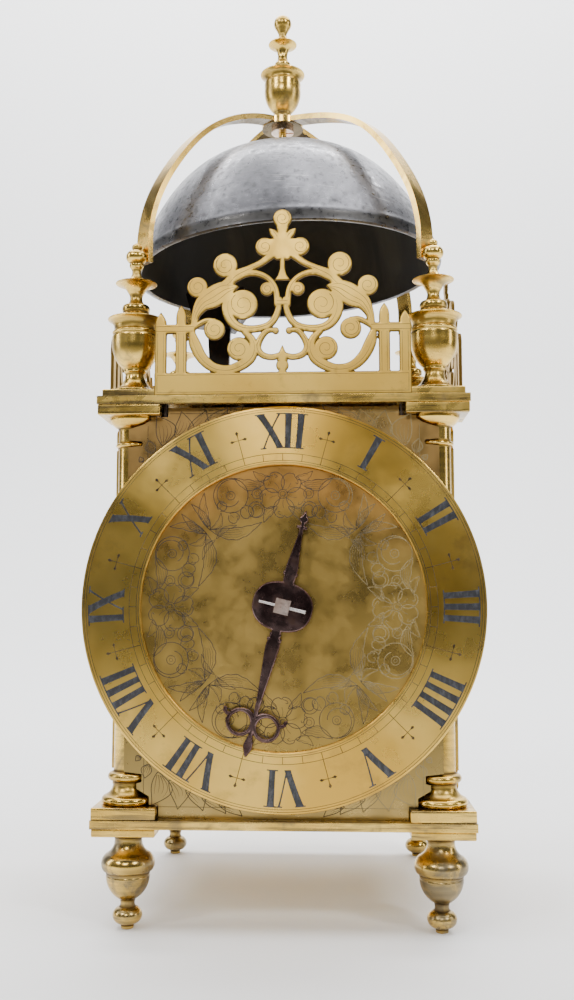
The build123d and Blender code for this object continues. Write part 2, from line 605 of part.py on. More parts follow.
# ---------------------------------------------------------------- build: dial, doors and back
def make_dial():
    back = -pillar_at - panel_off
    front = back - dial_t
    edge = panel_edge(dial_edge, roof_notch=2.3)
    outline = poly(*edge, *mirrored(edge))
    plate = slab(outline - disc(0, dial_z, arbor_end_r + running), front, back)
    ring = slab(disc(0, dial_z, ring_r) - disc(0, dial_z, ring_bore_r), front - ring_t, front)
    rivets = []
    for angle in (45, 135, 225, 315):
        x, z = ring_rivet_at * cos(radians(angle)), dial_z + ring_rivet_at * sin(radians(angle))
        plate -= rod(x, z, ring_rivet_r + seat, front - 1, back + 1)
        ring -= rod(x, z, ring_rivet_r + seat, front - ring_t / 2, front + 1)
        rivet = rod(x, z, ring_rivet_r, front - ring_t / 2 + 0.1, back) + rod(x, z, 2.0, back, back + 0.8)
        rivets.append(rivet)
    head = roof_z - pillar_cap_t - reveal
    for side in (-1, 1):
        rivets.append(post(side * dial_pin_x, back - dial_t / 2, dial_pin_r, head, roof_z + 1.9))
    parts["dial_plate"] = plate
    parts["chapter_ring"] = ring
    parts["dial_pins"] = Compound(children=rivets)


def make_back():
    front = pillar_at + panel_off
    edge = panel_edge(dial_edge)
    outline = poly(*edge, *mirrored(edge))
    plate = slab(outline, front, front + back_t)
    plate -= rod(0, pallet_z, pivot_r + running, front - 1, front + back_t + 1)
    cock_z = pallet_z + cock_rise
    screws = []
    for x in (-dial_edge + 12, dial_edge - 12):
        for z in (floor_z + 22, roof_z - 22):
            plate -= rod(x, z, screw_r + seat, front - 1, front + back_t + 1)
            nut = rod(x, z, screw_head_r, front - 1.6, front)
            nut -= rod(x, z, screw_r + seat, front - 2, front + 1)
            screws.append(rod(x, z, screw_r, front - 2.0, front + back_t)
                          + rod(x, z, screw_head_r, front + back_t, front + back_t + 1.2))
            screws.append(nut)
    cock = block(-9, 9, front + back_t, front + back_t + 2, cock_z - 6, cock_z + 6)
    cock += block(-9, 9, front + back_t, front + back_t + 7.6, cock_z + 3, cock_z + 6)
    cock -= block(-0.4, 0.4, front + back_t + 3.4, front + back_t + 9, cock_z, cock_z + 8)
    parts["back_plate"] = plate
    parts["back_plate_screws"] = Compound(children=screws)
    parts["pendulum_cock"] = cock


def make_doors():
    inner = pillar_at + panel_off + door_gap
    head = roof_z - pillar_cap_t - reveal
    clear = pillar_at - pillar_block / 2 - reveal
    front_edge = panel_edge(door_front)
    rear = hinge_y + hinge_tail
    strip = hinge_y + 1.5
    base = floor_z + pillar_base_t + reveal
    rear_edge = [(strip, roof_z - dial_gap), (strip, head), (rear, head), (rear, base), (strip, base),
                 (strip, floor_z + 0.4)]
    front_edge[0] = (clear, floor_z + 0.4)
    # drawn in the Y-Z plane, with the front edge at minus y
    outline = poly(*[(-y, z) for y, z in front_edge], *rear_edge)
    side_plane = Plane(origin=(0, 0, 0), x_dir=(0, 1, 0), z_dir=(1, 0, 0))
    for side, name in ((-1, "left"), (1, "right")):
        low = inner if side > 0 else -inner - door_t
        door = Pos(low, 0, 0) * extrude(side_plane * outline, amount=door_t)
        x = side * hinge_x()
        pins, lugs = [], None
        for z_low, z_high in ((floor_z - plate_t + 0.6, floor_z + 9), (roof_z - 10, top_z - 0.6)):
            pins.append(post(x, hinge_y, hinge_r, z_low, z_high))
            lug = post(x, hinge_y, hinge_r + 0.8, max(z_low, floor_z + 0.4), min(z_high, roof_z - dial_gap))
            lugs = lug if lugs is None else lugs + lug
        door += lugs
        for pin in pins:
            door -= pin
        knob_at = Pos(x, -door_front + 12, dial_z) * Rot(0, side * 90, 0)
        stem = door_t / 2
        knob = turned((1.5, -stem - 0.6), (1.5, stem), (3.2, stem), (3.2, stem + 0.7), (1.7, stem + 1.5),
                      (2.2, stem + 3.0), (4.0, stem + 4.6, 3.0, stem + 6.6), (0.8, stem + 7.2))
        door -= knob_at * Cylinder(1.5 + seat, door_t + 2)
        parts[f"{name}_door"] = door
        parts[f"{name}_door_fittings"] = Compound(children=[knob_at * knob] + pins)


# ---------------------------------------------------------------- build: movement frame
def make_bars():
    upright = Pos(0, (floor_z + roof_z) / 2) * Rectangle(bar_w, roof_z - floor_z)
    tenon_low, tenon_high = bottom_z + 0.4, top_z + tenon_out
    tenon = Pos(0, (tenon_low + tenon_high) / 2) * Rectangle(tenon_w, tenon_high - tenon_low)
    cross = upright + tenon + Pos(0, arm_z) * Rectangle(2 * arm_half, arm_h)
    through = {
        "front": ((0, great_z, great_arbor_r), (0, second_z, pivot_r), (0, escape_z, pivot_r),
                  (0, dial_z, pivot_r), (0, pallet_z, pivot_r), (detent_x, arm_z, arbor_r)),
        "centre": ((0, pallet_z, 3.5), (detent_x, arm_z, 3.5)),
        "rear": ((0, great_z, great_arbor_r), (0, hoop_z, pivot_r), (0, warn_z, pivot_r),
                 (fly_x, warn_z, pivot_r), (0, pallet_z, 3.5), (detent_x, arm_z, arbor_r),
                 (hammer_x, arm_z, pivot_r)),
    }
    blind = {
        centre_face: ((0, great_z), (0, second_z), (0, escape_z)),
        centre_back: ((0, great_z), (0, hoop_z), (0, warn_z), (fly_x, warn_z), (hammer_x, arm_z)),
    }
    depth = pivot_len + 0.1
    wedge_z = top_z + tenon_out / 2
    wedges = []
    for name, y in (("front", -bar_y), ("centre", 0.0), ("rear", bar_y)):
        bar = slab(cross, y - bar_t / 2, y + bar_t / 2)
        for x, z, r in through[name]:
            bar -= rod(x, z, r + running, y - bar_t, y + bar_t)
        if name == "centre":
            for face, places in blind.items():
                for x, z in places:
                    bar -= rod(x, z, pivot_r + running, face - depth, face + depth)
        bar -= block(-1.2, 1.2, y - 3, y + 3, top_z - 0.4, wedge_z + 1.0)
        side = poly((y - 7, top_z), (y + 7, top_z), (y + 7, top_z + 1.6), (y - 7, top_z + 2.6))
        wedges.append(extrude(Plane.YZ * side, amount=1.1, both=True))
        parts[f"{name}_bar"] = bar
    rear = parts["rear_bar"] - rod(0, count_z, count_stud_r + seat, rear_face - 1, rear_back + 1)
    stud = rod(0, count_z, count_stud_r, rear_face, rear_back + 6.0)
    stud += rod(0, count_z, 4.2, rear_back + 6.0, rear_back + 7.2)
    parts["rear_bar"] = Compound(children=[rear, stud])
    parts["bar_wedges"] = Compound(children=wedges)


# ---------------------------------------------------------------- build: going train
def pulley(y_front, y_back):
    """A rope pulley with two cheeks, a groove and spikes that hold the rope."""
    middle, half = (y_front + y_back) / 2, (y_back - y_front) / 2
    body = turned((15, -half), (15, -half + 1.6), (10.5, 0, 15, half - 1.6), (15, half))
    for i in range(10):
        body += Rot(0, 0, 36 * i) * Pos(11.5, 0, 0) * Rot(0, 90, 0) * Cylinder(0.7, 5.0)
    body -= Cylinder(great_arbor_r + seat, 2 * half + 2)
    return Pos(0, middle, great_z) * Rot(90, 0, 0) * body


def make_going():
    great = wheel(great_teeth, great_m, 90, great_arbor_r + seat)
    parts["going_great_wheel"] = slab(Pos(0, great_z) * great, going_great_y, going_great_y + wheel_t + 0.2)
    great_arbor = arbor(0, great_z, front_face, centre_face + pivot_len, great_arbor_r, pivot_r, 0)
    report_y = hour_wheel_y - 0.6
    great_arbor += rod(0, great_z, report_r, report_y, front_face)
    report = Pos(0, great_z) * leaves(report_leaves, hour_m, gap_turn(report_leaves, 90))
    great_arbor += slab(report, report_y, report_y + 3.4)
    parts["going_great_arbor"] = great_arbor
    parts["going_pulley"] = pulley(-25.0, -12.6)
    second = Pos(0, second_z) * wheel(second_teeth, second_m, 90, arbor_r + seat)
    second_arbor = arbor(0, second_z, front_face, centre_face + pivot_len)
    second_arbor += slab(Pos(0, second_z) * leaves(second_leaves, great_m, gap_turn(second_leaves, -90)),
                         going_great_y - 1.4, going_great_y + 3.6)
    second = slab(second, second_y, second_y + wheel_t - 0.2)
    parts["second_wheel"] = Compound(children=[second, second_arbor])
    # escape wheel: pointed teeth that lean back
    points = []
    for i in range(escape_teeth):
        angle = radians(90 + 360 / escape_teeth * i)
        for r, offset in ((escape_r - 3.4, -5.2), (escape_r, -0.7), (escape_r, 0.0), (escape_r - 3.4, 2.4)):
            points.append((r * cos(angle + radians(offset)), r * sin(angle + radians(offset))))
    inner = escape_r - 5.6
    windows = Circle(inner) - Circle(4.5) - Rectangle(2.2, 3 * inner) - Rectangle(3 * inner, 2.2)
    crown = poly(*points) - windows - Circle(arbor_r + seat)
    escape = slab(Pos(0, escape_z) * crown, escape_y, escape_y + 1.2)
    escape_arbor = arbor(0, escape_z, front_face, centre_face + pivot_len)
    escape_arbor += slab(Pos(0, escape_z) * leaves(escape_leaves, second_m, gap_turn(escape_leaves, -90)),
                         second_y - 1.0, second_y + 2.8)
    parts["escape_wheel"] = Compound(children=[escape, escape_arbor])
    # anchor: two arms whose pallets stand just off the wheel, 45 degrees each side
    reach = escape_r + pallet_gap
    tip = (reach * sin(pi / 4), escape_z + reach * cos(pi / 4) - pallet_z)
    shape = Circle(4.2)
    for side in (-1, 1):
        elbow = (side * (tip[0] + 2.6), tip[1] + 6.2)
        shape += poly((0, 2.6), (0, -2.0), (elbow[0] - side * 2.4, elbow[1] - 1.2), elbow)
        shape += poly(elbow, (elbow[0] - side * 3.2, elbow[1] - 0.6), (side * tip[0], tip[1]),
                      (side * (tip[0] + 2.2), tip[1] + 2.2))
    anchor = Pos(0, pallet_z) * (shape - Circle(arbor_r + seat))
    parts["anchor"] = slab(anchor, escape_y - 0.2, escape_y + 1.4)
    back = pillar_at + panel_off
    staff = arbor(0, pallet_z, front_face, back + back_t + 4.0, arbor_r, pivot_r, bar_t, back_t + 4.4)
    crutch_y = back + back_t + 1.2
    strip = Pos(0, pallet_z - 26) * Rectangle(4.0, 58) + disc(0, pallet_z, 4.0) - disc(0, pallet_z, pivot_r)
    crutch = slab(strip, crutch_y, crutch_y + 1.4)
    foot_z = pallet_z - 55
    fork = block(-5, 5, crutch_y, crutch_y + 6.4, foot_z - 1.2, foot_z + 1.2)
    fork -= block(-1.6, 1.6, crutch_y + 1.4, crutch_y + 8, foot_z - 2, foot_z + 2)
    parts["pallet_arbor"] = staff + crutch + fork


def make_motion():
    """Hour wheel, star wheel, hour arbor, hand and its pin."""
    dial_front = -pillar_at - panel_off - dial_t
    hour_shape = wheel(hour_teeth, hour_m, -90, arbor_end_r + seat, rim=3.4, hub_r=8.5, spoke=4.0)
    parts["hour_wheel"] = slab(Pos(0, dial_z) * hour_shape, hour_wheel_y, hour_wheel_y + wheel_t)
    star = []
    for i in range(24):
        r = 12.0 if i % 2 else 7.6
        angle = radians(15 * i + 4)
        star.append((r * cos(angle), r * sin(angle)))
    star_shape = poly(*star) - Circle(arbor_end_r + seat)
    parts["star_wheel"] = slab(Pos(0, dial_z) * star_shape, star_y, star_y + wheel_t)
    hand_back = dial_front - ring_t - hand_gap
    hand_front = hand_back - hand_t
    end = hand_front - square_out
    body = rod(0, dial_z, arbor_end_r, dial_front - 1.0, -53.0)
    body += rod(0, dial_z, arbor_r + 0.6, -53.0, front_face - 0.2)
    body += rod(0, dial_z, pivot_r, front_face - 0.2, front_back)
    turn = -hand_turn
    square = Pos(0, dial_z) * Rot(0, 0, turn) * Rectangle(square_side, square_side)
    body += slab(square, end, dial_front - 1.0)
    pin_y = hand_front - 0.2 - taper_pin_r
    across = Pos(0, pin_y, dial_z) * Rot(0, -turn, 0) * Rot(0, 90, 0)
    body -= across * Cylinder(taper_pin_r + seat, 2 * square_side)
    parts["hour_arbor"] = body
    boss = hand_shape() - Rectangle(square_side + 2 * seat, square_side + 2 * seat)
    parts["hour_hand"] = slab(Pos(0, dial_z) * Rot(0, 0, turn) * boss, hand_front, hand_back)
    pin = Cone(taper_pin_r, taper_pin_r * 0.7, taper_pin_len)
    parts["hand_pin"] = across * pin


# ---------------------------------------------------------------- build: striking train
def make_striking():
    great_y = strike_great_y
    great = wheel(strike_teeth, strike_m, 90, great_arbor_r + seat, rim=6.0)
    great = slab(Pos(0, great_z) * great, great_y, great_y + 2.4)
    for i in range(hammer_pins):
        angle = 2 * pi * i / hammer_pins
        x, z = hammer_pin_at * cos(angle), great_z + hammer_pin_at * sin(angle)
        great += rod(x, z, hammer_pin_r, great_y + 2.0, great_y + 7.0)
    parts["strike_great_wheel"] = great
    great_end = rear_back + 3.1
    great_arbor = arbor(0, great_z, centre_back - pivot_len, great_end, great_arbor_r, pivot_r, pivot_len, 0)
    count_pinion = Pos(0, great_z) * leaves(count_leaves, count_m, gap_turn(count_leaves, 90))
    great_arbor += slab(count_pinion, rear_back + 0.7, great_end)
    parts["strike_great_arbor"] = great_arbor
    parts["strike_pulley"] = pulley(16.8, 29.2)
    hoop = slab(Pos(0, hoop_z) * wheel(hoop_teeth, hoop_m, 90, arbor_r + seat), hoop_y, hoop_y + 1.8)
    band = Circle(hoop_r) - Circle(hoop_r - 1.6) - poly((0, 0), (30, 3.2), (30, -3.2))
    hoop += slab(Pos(0, hoop_z) * band, hoop_y - 3.4, hoop_y + 0.1)
    hoop_arbor = arbor(0, hoop_z, centre_back - pivot_len, rear_back, front_pivot=pivot_len, back_pivot=bar_t)
    hoop_arbor += slab(Pos(0, hoop_z) * leaves(hoop_leaves, strike_m, gap_turn(hoop_leaves, -90)), 6.4, 12.0)
    parts["hoop_wheel"] = Compound(children=[hoop, hoop_arbor])
    warn = slab(Pos(0, warn_z) * wheel(warn_teeth, warn_m, 0, arbor_r + seat, rim=2.4, hub_r=5, spoke=2.4),
                warn_y, warn_y + 1.4)
    warn += rod(10.9, warn_z + 3.4, 0.7, warn_y - 3.0, warn_y + 0.2)
    warn_arbor = arbor(0, warn_z, centre_back - pivot_len, rear_back, front_pivot=pivot_len, back_pivot=bar_t)
    warn_pinion = Pos(0, warn_z) * leaves(warn_leaves, hoop_m, gap_turn(warn_leaves, -90))
    warn_arbor += slab(warn_pinion, hoop_y - 0.8, hoop_y + 2.6)
    parts["warning_wheel"] = Compound(children=[warn, warn_arbor])
    fly = arbor(fly_x, warn_z, centre_back - pivot_len, rear_back, 1.05, pivot_r, pivot_len, bar_t)
    fly_pinion = Pos(fly_x, warn_z) * leaves(fly_leaves, warn_m, gap_turn(fly_leaves, 180))
    fly += slab(fly_pinion, warn_y - 0.8, warn_y + 2.2)
    vane = block(fly_x - fly_r, fly_x + fly_r, 8.0, 27.0, warn_z - 0.4, warn_z + 0.4)
    parts["fly"] = fly + vane + rod(fly_x, warn_z, 2.4, 9.0, 26.0)
    gear = Pos(0, count_z) * tooth_ring(count_teeth, count_m, -90)
    count = slab(gear, rear_back + 1.0, rear_back + 3.4)
    rim = disc(0, count_z, count_r)
    blows = 0
    for hour in range(1, 13):
        notch = Rot(0, 0, 360 * blows / 78 + 25) * Pos(count_r, 0) * Rectangle(5.0, 3.2)
        rim -= Pos(0, count_z) * notch
        blows += hour
    count += slab(rim, rear_back + 3.4, rear_back + 5.0)
    parts["count_wheel"] = count - rod(0, count_z, count_stud_r + running, rear_back, rear_back + 6)
    make_detent()
    make_hammer()


def make_detent():
    """One arbor with three arms: lifting tail, locking arm at the hoop and count lever."""
    body = rod(detent_x, arm_z, arbor_r, -58.0, rear_back + 5.4)
    for y_front, y_back in ((-57.8, -54.6), (30.6, 33.4), (rear_back + 2.8, rear_back + 5.4)):
        body += rod(detent_x, arm_z, 4.0, y_front, y_back)
    tail = poly((detent_x, arm_z + 2), (detent_x, arm_z - 2), (13.6, dial_z - 1.4), (12.9, dial_z + 1.2))
    body += slab(tail, star_y, star_y + wheel_t)
    lock = poly((detent_x, arm_z + 1.6), (detent_x, arm_z - 2), (30, arm_z - 7.7), (10.4, arm_z - 8.5),
                (10.4, arm_z - 6.1), (29.4, arm_z - 4.9))
    body += slab(lock, 31.0, 33.0)
    over = count_z + count_r + reveal
    lever = poly((detent_x, arm_z + 2), (detent_x, arm_z - 2), (5.6, arm_z - 1.2), (5.6, over), (3.0, over),
                 (3.0, arm_z + 1.4))
    body += slab(lever, rear_back + 3.2, rear_back + 5.2)
    parts["strike_detent"] = body


def make_hammer():
    body = arbor(hammer_x, arm_z, centre_back - pivot_len, rear_back, front_pivot=pivot_len, back_pivot=bar_t)
    body += rod(hammer_x, arm_z, 4.2, hammer_y - 3.5, hammer_y + 3.5)
    arm = poly((hammer_x - 3.4, arm_z), (hammer_x + 3.4, arm_z), (hammer_x + 3.6, top_z + 8),
               (hammer_x + 5.6, head_z + 2), (hammer_x - 6.6, head_z + 2), (hammer_x - 3.6, top_z + 8))
    body += slab(arm, hammer_y - 2.6, hammer_y + 2.6)
    left = hammer_x - 2 - head_w / 2
    right = left + head_w
    top = head_z + head_h
    head = poly((left + 4, head_z + 1), (right - 6, head_z - 2), (right, head_z + 6), (right - 0.4, top),
                (left + 3, top), (left, top - 3.5))
    body += slab(head, hammer_y - head_d / 2, hammer_y + head_d / 2)
    # tail, down to the pins of the great wheel
    touch = radians(120)
    orbit = hammer_pin_at + hammer_pin_r + 1.2
    tip = (orbit * cos(touch), great_z + orbit * sin(touch))
    body += rod(hammer_x, arm_z, 3.6, 11.6, 14.6)
    tail = poly((hammer_x - 1, arm_z + 2.4), (hammer_x + 3, arm_z + 1.4), (tip[0] + 1.6, tip[1] + 1.8), tip,
                (hammer_x - 2.6, arm_z - 1.6))
    body += slab(tail, 12.0, 14.2)
    parts["hammer"] = body
    # leaf spring on the bottom plate and stop on the top plate, both at the arm's outer side
    low, high = hammer_y - leaf_w / 2, hammer_y + leaf_w / 2
    spring = block(spring_x - spring_t / 2, spring_x + spring_t / 2, low, high, floor_z - 1.9, arm_z - 4)
    spring += block(spring_x - spring_t / 2, spring_x + 1.5, low, high, arm_z - 5, arm_z - 4)
    parts["hammer_spring"] = spring
    stop = block(stop_x - stop_t / 2, stop_x + stop_t / 2, low, high, top_z - 1.9, top_z + 17)
    stop += block(stop_x - stop_t / 2, stop_x + stop_t / 2 + 1.2, low, high, top_z + 13, top_z + 17)
    parts["hammer_stop"] = stop


make_case()
make_bell()
make_dial()
make_back()
make_doors()
make_bars()
make_going()
make_motion()
make_striking()

os.makedirs("parts", exist_ok=True)
for node, solid in parts.items():
    solid.label = node
    export_step(solid, f"parts/{node}.step")
print(len(parts), "nodes")
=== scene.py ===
# %% [markdown]
# # A lantern clock in polished brass
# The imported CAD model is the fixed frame. The cells below dress it: turned pieces get a
# finer surface, the frets and the hand get their cut outlines, the dial gets its numerals
# and engraving, and every piece gets a metal that is built from nodes. Helpers work in
# millimetres, as the clockmaker does, and turn them into metres when a mesh is made.

# %% Load the frame
import json
import math

import bmesh
import bpy
import numpy as np
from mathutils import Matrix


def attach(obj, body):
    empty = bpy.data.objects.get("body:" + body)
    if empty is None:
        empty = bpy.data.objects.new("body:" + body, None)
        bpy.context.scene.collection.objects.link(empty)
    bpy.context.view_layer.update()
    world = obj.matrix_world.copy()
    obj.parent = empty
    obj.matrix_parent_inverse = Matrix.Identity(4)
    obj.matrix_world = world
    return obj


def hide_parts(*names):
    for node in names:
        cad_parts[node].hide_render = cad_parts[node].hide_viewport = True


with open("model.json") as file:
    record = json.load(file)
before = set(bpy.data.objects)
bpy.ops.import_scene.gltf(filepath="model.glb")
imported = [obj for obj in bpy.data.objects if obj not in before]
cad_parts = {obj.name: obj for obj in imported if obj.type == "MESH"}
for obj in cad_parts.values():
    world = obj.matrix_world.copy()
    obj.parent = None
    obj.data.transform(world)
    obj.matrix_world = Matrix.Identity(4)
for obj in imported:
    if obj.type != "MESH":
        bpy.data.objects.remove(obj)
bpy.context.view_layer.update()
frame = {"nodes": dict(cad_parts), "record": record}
MM = 0.001
TAU = 2 * np.pi

# %% [markdown]
# ## The camera
# The camera stood close in front of the clock and looked slightly up, so the feet are seen
# from above and the plates from below. The camera was fitted to the plates, the ring and
# the finials, whose real sizes are known from the CAD model.

# %% Camera
FOCAL_PX, FRAME_PX = 1032.3, 1000.0
SENSOR = 36.0
CAMERA_AT = (0.020915, -0.49322, 0.13039)
CAMERA_TILT, CAMERA_TURN, CAMERA_SHIFT = 0.0967, 0.0455, 0.0044
camera_data = bpy.data.cameras.new("photo_camera")
camera_data.sensor_width = SENSOR
camera_data.lens = FOCAL_PX / FRAME_PX * SENSOR
camera_data.shift_y = CAMERA_SHIFT
camera_data.clip_start = 0.01
camera = bpy.data.objects.new("photo_camera", camera_data)
camera.location = CAMERA_AT
camera.rotation_euler = (math.radians(90) + CAMERA_TILT, 0.0, CAMERA_TURN)
bpy.context.scene.collection.objects.link(camera)
bpy.context.scene.camera = camera
print("lens in mm:", round(camera_data.lens, 2))

# %% [markdown]
# ## From arrays to meshes
# A shape here is a grid of points worked out at once with numpy. Neighbouring points are
# joined by four-sided faces, the seam is welded, and the faces are turned outwards.
# A value called grime, from 0 to 1, can be stored on each point: it is high in grooves,
# where polish never reaches, and the metals read it.

# %% Mesh helpers
WELD, SLIVER = 2e-6, 1e-7    # metres: points this close are one, and edges this short go


def grid_faces(rows, cols, wrap_cols=False):
    """Four-sided faces between neighbours of a rows by cols grid, numbered row by row."""
    r = np.arange(rows - 1)[:, None]
    c = np.arange(cols if wrap_cols else cols - 1)[None, :]
    a, b = r * cols + c, r * cols + (c + 1) % cols
    return np.stack([a, b, b + cols, a + cols], -1).reshape(-1, 4)


def join_shells(shells):
    """Several (points, faces, grime) shells numbered on as one."""
    points, faces, grime, start = [], [], [], 0
    for p, f, g in shells:
        points.append(p)
        faces.append(np.asarray(f) + start)
        grime.append(np.zeros(len(p)) if g is None else np.broadcast_to(g, len(p)))
        start += len(p)
    return np.concatenate(points), np.concatenate(faces), np.concatenate(grime)


def closed_triangles(faces):
    """Faces as four-sided rows, where a triangle repeats its last point, without the repeats."""
    return [row[:3] if row[2] == row[3] else row for row in faces.tolist()]


def make_piece(name, shells, material, body="frame", nodes=(), sharp=40, uv=None):
    """A mesh object from shells in millimetres, welded, smooth, and riding on its body."""
    points, faces, grime = join_shells(shells)
    mesh = bpy.data.meshes.new(name)
    mesh.from_pydata((points * MM).tolist(), [], closed_triangles(faces))
    layer = mesh.attributes.new("grime", "FLOAT", "POINT")
    layer.data.foreach_set("value", grime.astype(np.float32))
    if uv is not None:
        corners = np.zeros(len(mesh.loops), np.int32)
        mesh.loops.foreach_get("vertex_index", corners)
        mesh.uv_layers.new(name="UVMap").data.foreach_set("uv", uv[corners].astype(np.float32).ravel())
    work = bmesh.new()
    work.from_mesh(mesh)
    bmesh.ops.remove_doubles(work, verts=work.verts, dist=WELD)
    bmesh.ops.dissolve_degenerate(work, edges=work.edges, dist=SLIVER)
    bmesh.ops.recalc_face_normals(work, faces=work.faces)
    work.to_mesh(mesh)
    work.free()
    mesh.shade_smooth()
    if sharp:
        mesh.set_sharp_from_angle(angle=math.radians(sharp))
    metals = material if isinstance(material, tuple) else (material,)
    for metal in metals:
        mesh.materials.append(metal)
    if len(metals) > 1:
        counts = [len(faces) for _, faces, _ in shells]
        which = np.repeat(np.arange(len(shells)), counts).astype(np.int32)
        mesh.polygons.foreach_set("material_index", which)
    piece = bpy.data.objects.new(name, mesh)
    bpy.context.scene.collection.objects.link(piece)
    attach(piece, body)
    if nodes:
        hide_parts(*nodes)
    return piece


# %% [markdown]
# ## Node helpers
# Every metal starts from one shader. What makes it brass, iron or bell metal is its
# colour, how that colour drifts from place to place, how matt it is, and the fine bumps
# of files, polishing cloths and age.

# %% Node helpers
class Metal:
    """A short way to write a node tree: each method adds one node and returns its output."""

    def __init__(self, name):
        self.material = bpy.data.materials.new(name)
        self.material.use_nodes = True
        self.tree = self.material.node_tree
        self.tree.nodes.clear()
        self.place = self.add("ShaderNodeTexCoord").outputs["Object"]

    def add(self, kind, **values):
        node = self.tree.nodes.new(kind)
        for key, value in values.items():
            setattr(node, key, value)
        return node

    def link(self, source, socket):
        if isinstance(source, bpy.types.NodeSocket):
            self.tree.links.new(source, socket)
        else:
            socket.default_value = source

    def paint(self, colour, socket):
        """Link a colour, or set it where it is plain numbers."""
        self.link(colour if isinstance(colour, bpy.types.NodeSocket) else (*colour, 1.0), socket)

    def axes(self, vector=None):
        """The x, y and z of a vector, or of the place on the object."""
        node = self.add("ShaderNodeSeparateXYZ")
        self.link(vector or self.place, node.inputs[0])
        return node.outputs

    def stretched(self, scale):
        """The place on the object, stretched by scale along each axis."""
        node = self.add("ShaderNodeMapping", vector_type="POINT")
        self.link(self.place, node.inputs["Vector"])
        node.inputs["Scale"].default_value = scale
        return node.outputs[0]

    def noise(self, scale, detail=4.0, rough=0.55, where=None, twist=0.0):
        node = self.add("ShaderNodeTexNoise")
        self.link(where or self.place, node.inputs["Vector"])
        node.inputs["Scale"].default_value = scale
        node.inputs["Detail"].default_value = detail
        node.inputs["Roughness"].default_value = rough
        node.inputs["Distortion"].default_value = twist
        return node.outputs["Fac"]

    def ramp(self, value, low, high, from_value=0.0, to_value=1.0):
        """value between low and high becomes from_value to to_value, and is held outside."""
        node = self.add("ShaderNodeMapRange", interpolation_type="SMOOTHSTEP")
        self.link(value, node.inputs["Value"])
        ends = {"From Min": low, "From Max": high, "To Min": from_value, "To Max": to_value}
        for key, number in ends.items():
            node.inputs[key].default_value = number
        return node.outputs["Result"]

    def blend(self, amount, a, b):
        """Colour a where amount is 0 and b where it is 1."""
        node = self.add("ShaderNodeMix", data_type="RGBA")
        self.link(amount, node.inputs[0])
        self.paint(a, node.inputs[6])
        self.paint(b, node.inputs[7])
        return node.outputs[2]

    def maths(self, operation, a, b=0.0):
        node = self.add("ShaderNodeMath", operation=operation)
        self.link(a, node.inputs[0])
        self.link(b, node.inputs[1])
        return node.outputs[0]

    def attribute(self, name):
        return self.add("ShaderNodeAttribute", attribute_name=name).outputs["Fac"]

    def bump(self, height, depth_mm, strength=1.0, normal=None):
        node = self.add("ShaderNodeBump")
        node.inputs["Strength"].default_value = strength
        node.inputs["Distance"].default_value = depth_mm * MM
        self.link(height, node.inputs["Height"])
        if normal:
            self.link(normal, node.inputs["Normal"])
        return node.outputs[0]

    def rounded_edges(self, radius_mm):
        node = self.add("ShaderNodeBevel", samples=4)
        node.inputs["Radius"].default_value = radius_mm * MM
        return node.outputs[0]

    def finish(self, colour, roughness, metallic=1.0, normal=None, anisotropic=0.0, tangent=None):
        shader = self.add("ShaderNodeBsdfPrincipled")
        self.paint(colour, shader.inputs["Base Color"])
        self.link(roughness, shader.inputs["Roughness"])
        shader.inputs["Metallic"].default_value = metallic
        shader.inputs["Anisotropic"].default_value = anisotropic
        shader.inputs["Anisotropic Rotation"].default_value = 0.25
        if normal:
            self.link(normal, shader.inputs["Normal"])
        if tangent:
            self.link(tangent, shader.inputs["Tangent"])
        output = self.add("ShaderNodeOutputMaterial")
        self.tree.links.new(shader.outputs[0], output.inputs[0])
        return self.material


# %% [markdown]
# ## Brass
# Old polished brass is pale gold where it is rubbed, turns deeper and browner where it is
# held or left alone, and is nearly black in the bottom of a groove. Three soft noises of
# different sizes mix these colours, and the grime value adds the groove. Fine stretched
# noise stands for the marks of polishing.

